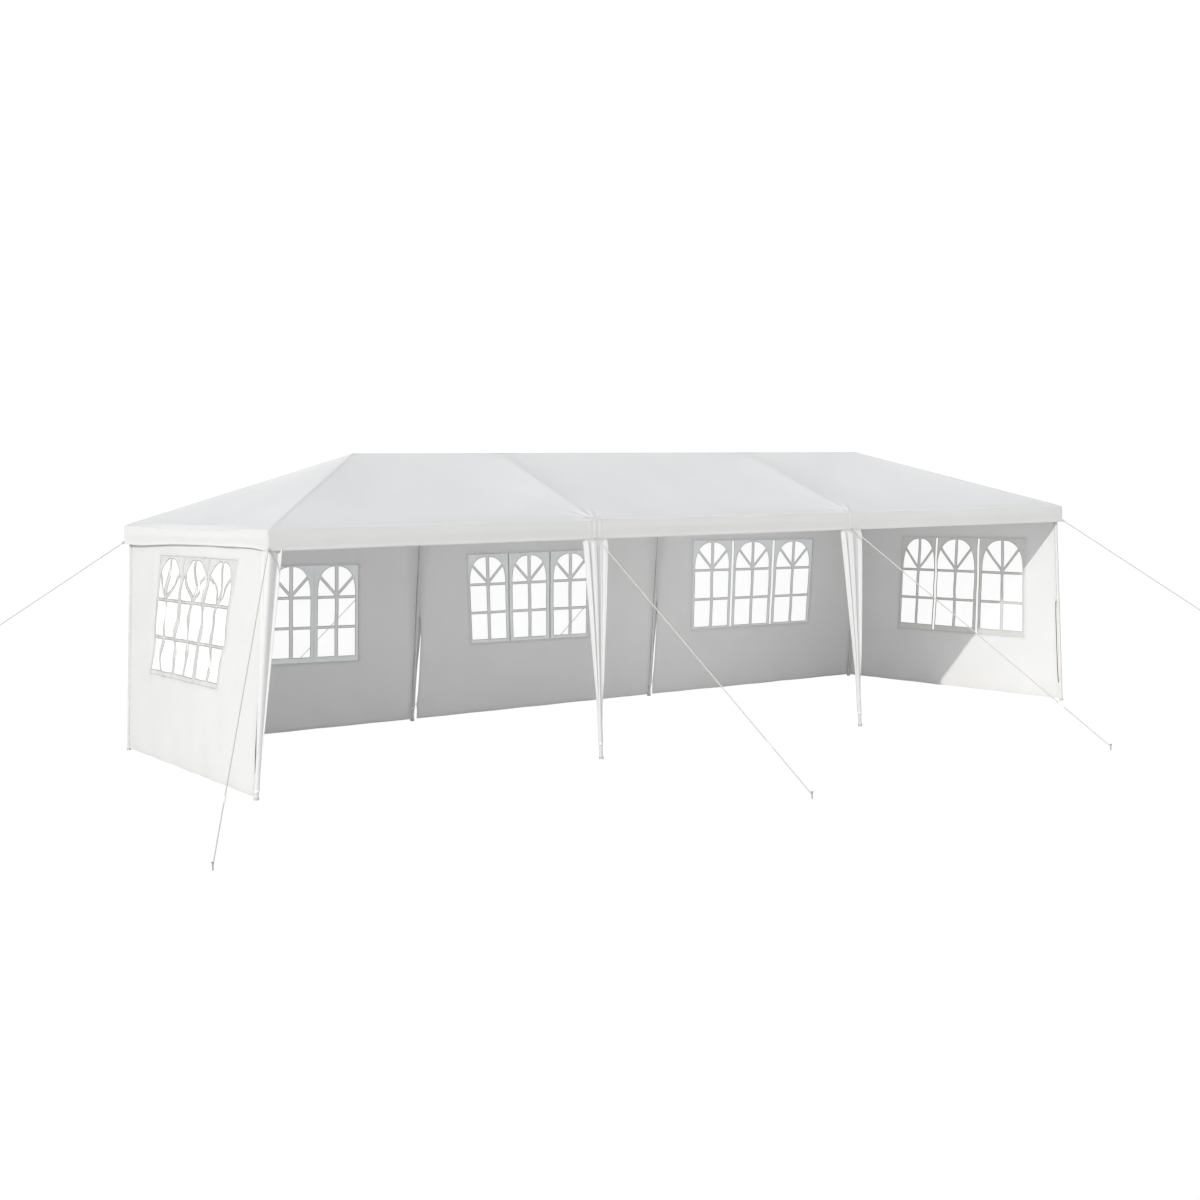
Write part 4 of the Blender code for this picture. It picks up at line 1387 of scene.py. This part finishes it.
PEG_R = 0.005
PEG_STEPS = ((0.046, 1.0), (0.0015, 1.9), (0.004, 1.16), (0.0025, 0.86), (0.001, 0.5))


def make_peg(place, stake):
    """Round steel peg with a mushroom head; each step is a rise and the ring's change of size."""
    bpy.ops.mesh.primitive_circle_add(vertices=20, radius=PEG_R, fill_type="NGON")
    peg = bpy.context.object
    peg.name = "guy_rope_%s_peg" % place
    steps = []
    for rise, scale in PEG_STEPS:
        up = {"TRANSFORM_OT_translate": {"value": (0.0, 0.0, rise)}}
        steps.append((bpy.ops.mesh.extrude_region_move, up))
        steps.append((bpy.ops.transform.resize, {"value": (scale, scale, 1.0)}))
    steps.append((bpy.ops.mesh.select_all, {"action": "SELECT"}))
    steps.append((bpy.ops.mesh.normals_make_consistent, {"inside": False}))
    edit_mesh(peg, *steps)
    peg.location = stake
    settle(peg)
    rounded(peg, 35.0)
    finish_piece(peg, ZINC, "steel")


# Small fittings

WORLD_AXES = ((1.0, 0.0, 0.0), (0.0, 1.0, 0.0), (0.0, 0.0, 1.0))
EYELET_IN = 0.012              # from the wall's edge
LOOP_ROOM = 0.0035             # between a leg and the loop round it
TAB_SHARES = (0.06, 0.23, 0.41, 0.59, 0.77, 0.94)
TAB_WIDTH = 0.035
BUTTON_R = 0.0042
BUTTONS = ((1.055, 0.0178), (1.985, 0.0195))     # heights, and how far out of the leg's centre line


def ring_piece(at, axes, scale, segments, major, minor):
    """A ring in the plane of the first two axes, stretched along them."""
    bpy.ops.mesh.primitive_torus_add(major_segments=segments, minor_segments=8, major_radius=major,
                                     minor_radius=minor)
    ring = bpy.context.object
    ring.scale = scale
    settle(ring)
    stand(ring, at, axes)
    return ring


def make_ties(wall):
    """Elastic loops round the legs and through the wall's edges, and the eyelets there."""
    loops, rings = [], []
    first, second, axis = WALLS[wall][:3]
    out = WALL_NORMALS[wall]
    for z in TIE_HEIGHTS:
        start, end = wall_edges(wall, z)
        way = (end - start).normalized()
        up = way.cross(out).normalized()
        for leg, edge, sign in ((first, start, 1.0), (second, end, -1.0)):
            centre = along_leg(leg, z)
            hole = edge + way * (sign * EYELET_IN)
            reach = 0.5 * ((hole - centre).length + LEG_R + 0.004)
            middle = centre + way * (sign * (reach - LEG_R - 0.003))
            loops.append(ring_piece(middle, (way * sign, out, up * sign), (reach, LEG_R + LOOP_ROOM, 0.045),
                                    28, 1.0, 0.055))
            rings.append(ring_piece(wall_point(wall, hole[axis], z), (way, up, out), (1.0, 1.0, 1.0),
                                    20, 0.0065, 0.0018))
    ties = joined_fittings(loops, "wall_%s_ties" % wall, WHITE_PLASTIC, "rope")
    return ties, joined_fittings(rings, "wall_%s_eyelets" % wall, ZINC, "steel")


def make_gap_shade_cord(wall):
    """Dark brown cord along the free front edge of an end wall, between its lower two ties: painted shade of
    the slit between the wall and its leg.
    """
    low, high = TIE_HEIGHTS[:2]
    path = []
    for i in range(45):
        z = low + 0.02 + (high - low - 0.06) * i / 44
        edge = wall_edges(wall, z)[0]
        path.append(edge + (along_leg(WALLS[wall].first, z) - edge).normalized() * 0.003)
    cord = cord_piece("wall_%s_edge_cord" % wall, path, 0.0045, 10)
    finish_piece(cord, GAP_SHADE_CORD, "rope")
    return cord


def make_tabs(wall):
    """Strips with touch fastener that hold the wall's top edge round the eave rail."""
    start, end = (along_leg(leg, HUB_Z) for leg in WALLS[wall][:2])
    way = (end - start).normalized()
    turn = Vector((0.0, 0.0, 1.0)).rotation_difference(way).to_matrix()
    made = []
    for share in TAB_SHARES:
        bpy.ops.mesh.primitive_cylinder_add(vertices=28, radius=RAIL_R + 0.0016, depth=TAB_WIDTH,
                                            end_fill_type="NOTHING")
        band = bpy.context.object
        stand(band, start + way * ((end - start).length * share), turn.transposed())
        thicken(band, CLOTH, 1.0)
        made.append(band)
    return joined_fittings(made, "wall_%s_tabs" % wall, TAPE_SHEET, "wall", 40.0)


def make_bands():
    """Elastic bands that hold the curtains to the feet."""
    bands = []
    for place in ("front_left", "front_mid_left", "front_mid_right", "back_right", "back_mid_right",
                  "back_mid_left"):
        bottom = CURTAIN_BOTTOM_Z if "mid" in place else CORNER_BOTTOM_Z
        bands.append(ring_piece(along_leg(place, bottom + 0.014), WORLD_AXES, (1.0, 1.0, 5.0),
                                32, OFF_LEG + 0.0016, 0.0012))
    joined_fittings(bands, "curtain_bands", TAPE_SHEET, "cover")


def make_buttons():
    """Spring buttons that lock the legs' tubes into each other."""
    buttons = []
    for place in LEG_TOPS:
        for z, out in BUTTONS:
            at = along_leg(place, z)
            at.x += out * (1.0 if "mid" in place else math.copysign(1.0, -at.x))
            bpy.ops.mesh.primitive_uv_sphere_add(segments=14, ring_count=8, radius=BUTTON_R)
            button = bpy.context.object
            button.location = at
            settle(button)
            buttons.append(button)
    joined_fittings(buttons, "spring_buttons", ZINC, "steel")


# Floor, light and camera

def white_to_camera(owner, lit, white, output):
    """Shows the camera plain white, while everything else meets the lit look."""
    seen = put(owner, "ShaderNodeLightPath").outputs["Is Camera Ray"]
    blend(owner, seen, lit, white, output)


def make_floor():
    bpy.ops.mesh.primitive_plane_add(size=FLOOR_SIZE, location=(0.0, 0.0, FLOOR_Z))
    floor = bpy.context.object
    floor.name = "studio_floor"
    made = new_finish("pale_floor", (0.60, 0.60, 0.60), 0.9)
    glow = put(made, "ShaderNodeEmission", Strength=FLOOR_GLOW)
    white_to_camera(made, shader_of(made).outputs["BSDF"], glow.outputs["Emission"], "Material Output")
    floor.data.materials.append(made)


def make_world():
    world = bpy.data.worlds.new("studio")
    bpy.context.scene.world = world
    world.use_nodes = True
    sky = world.node_tree.nodes["Background"]
    sky.inputs["Color"].default_value = (0.96, 0.98, 1.0, 1.0)
    sky.inputs["Strength"].default_value = SKY_STRENGTH
    white = put(world, "ShaderNodeBackground", Color=(1.0, 1.0, 1.0, 1.0), Strength=SKY_GLOW)
    white_to_camera(world, sky.outputs["Background"], white.outputs["Background"], "World Output")


def make_lamp(name, kind, place, aim, **settings):
    data = bpy.data.lights.new(name, kind)
    for key, value in settings.items():
        setattr(data, key, value)
    lamp = bpy.data.objects.new(name, data)
    bpy.context.scene.collection.objects.link(lamp)
    lamp.rotation_mode = "QUATERNION"
    lamp.rotation_quaternion = Vector(aim).to_track_quat("-Z", "Y")
    lamp.location = place
    return lamp


def make_lights():
    make_lamp("sun", "SUN", -Vector(SUN_WAY) * 5.0, SUN_WAY, energy=SUN_STRENGTH, angle=math.radians(0.8),
              color=(1.0, 0.985, 0.96))
    for name, (place, aim, width, power) in FILLS.items():
        lamp = make_lamp(name, "AREA", place, aim, shape="RECTANGLE", size=width, size_y=FILL_HEIGHT,
                         energy=power)
        lamp.visible_camera = False


def make_camera():
    yaw, pitch, roll = (math.radians(angle) for angle in (CAMERA_YAW, CAMERA_PITCH, CAMERA_ROLL))
    ahead = Vector((math.sin(yaw) * math.cos(pitch), math.cos(yaw) * math.cos(pitch), math.sin(pitch)))
    level = Vector((math.cos(yaw), -math.sin(yaw), 0.0))
    up = level.cross(ahead)
    right = level * math.cos(roll) + up * math.sin(roll)
    top = up * math.cos(roll) - level * math.sin(roll)
    data = bpy.data.cameras.new("camera")
    data.sensor_width = SENSOR_MM
    data.lens = FOCAL_SHARE * SENSOR_MM
    data.clip_end = 300.0
    camera = bpy.data.objects.new("camera", data)
    bpy.context.scene.collection.objects.link(camera)
    camera.matrix_world = Matrix.Translation(CAMERA_AT) @ Matrix((right, top, -ahead)).transposed().to_4x4()
    bpy.context.scene.camera = camera


make_camera()
make_world()
make_lights()
make_floor()
bpy.context.scene.view_settings.view_transform = "Standard"

for name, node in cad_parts.items():
    if not name.startswith(("cover_", "valance_", "leg_curtain_", "wall_", "window_", "guy_rope_")):
        node.data.materials.clear()
        node.data.materials.append(STEEL_TUBE)

cover = make_cover()
tapes = make_cover_tapes()
valance = make_valance()
for place in FOLD_SEEDS:
    curtain = make_middle_curtain(place)
for place in CORNER_TURNS:
    curtain = make_corner_curtain(place)
for wall, plan in WALLS.items():
    film, lattice, edging = make_window(wall)
    sheet, width = make_wall(wall)
    tape = make_welt(wall)
    hem = make_wall_hem(wall)
    ties, grommets = make_ties(wall)
    tabs = make_tabs(wall)
    # the end walls get the dark cord that paints the slit's shade
    cords = [make_gap_shade_cord(wall)] if plan.axis == 1 else []
for place in STAKES:
    make_rope(place)
make_bands()
make_buttons()
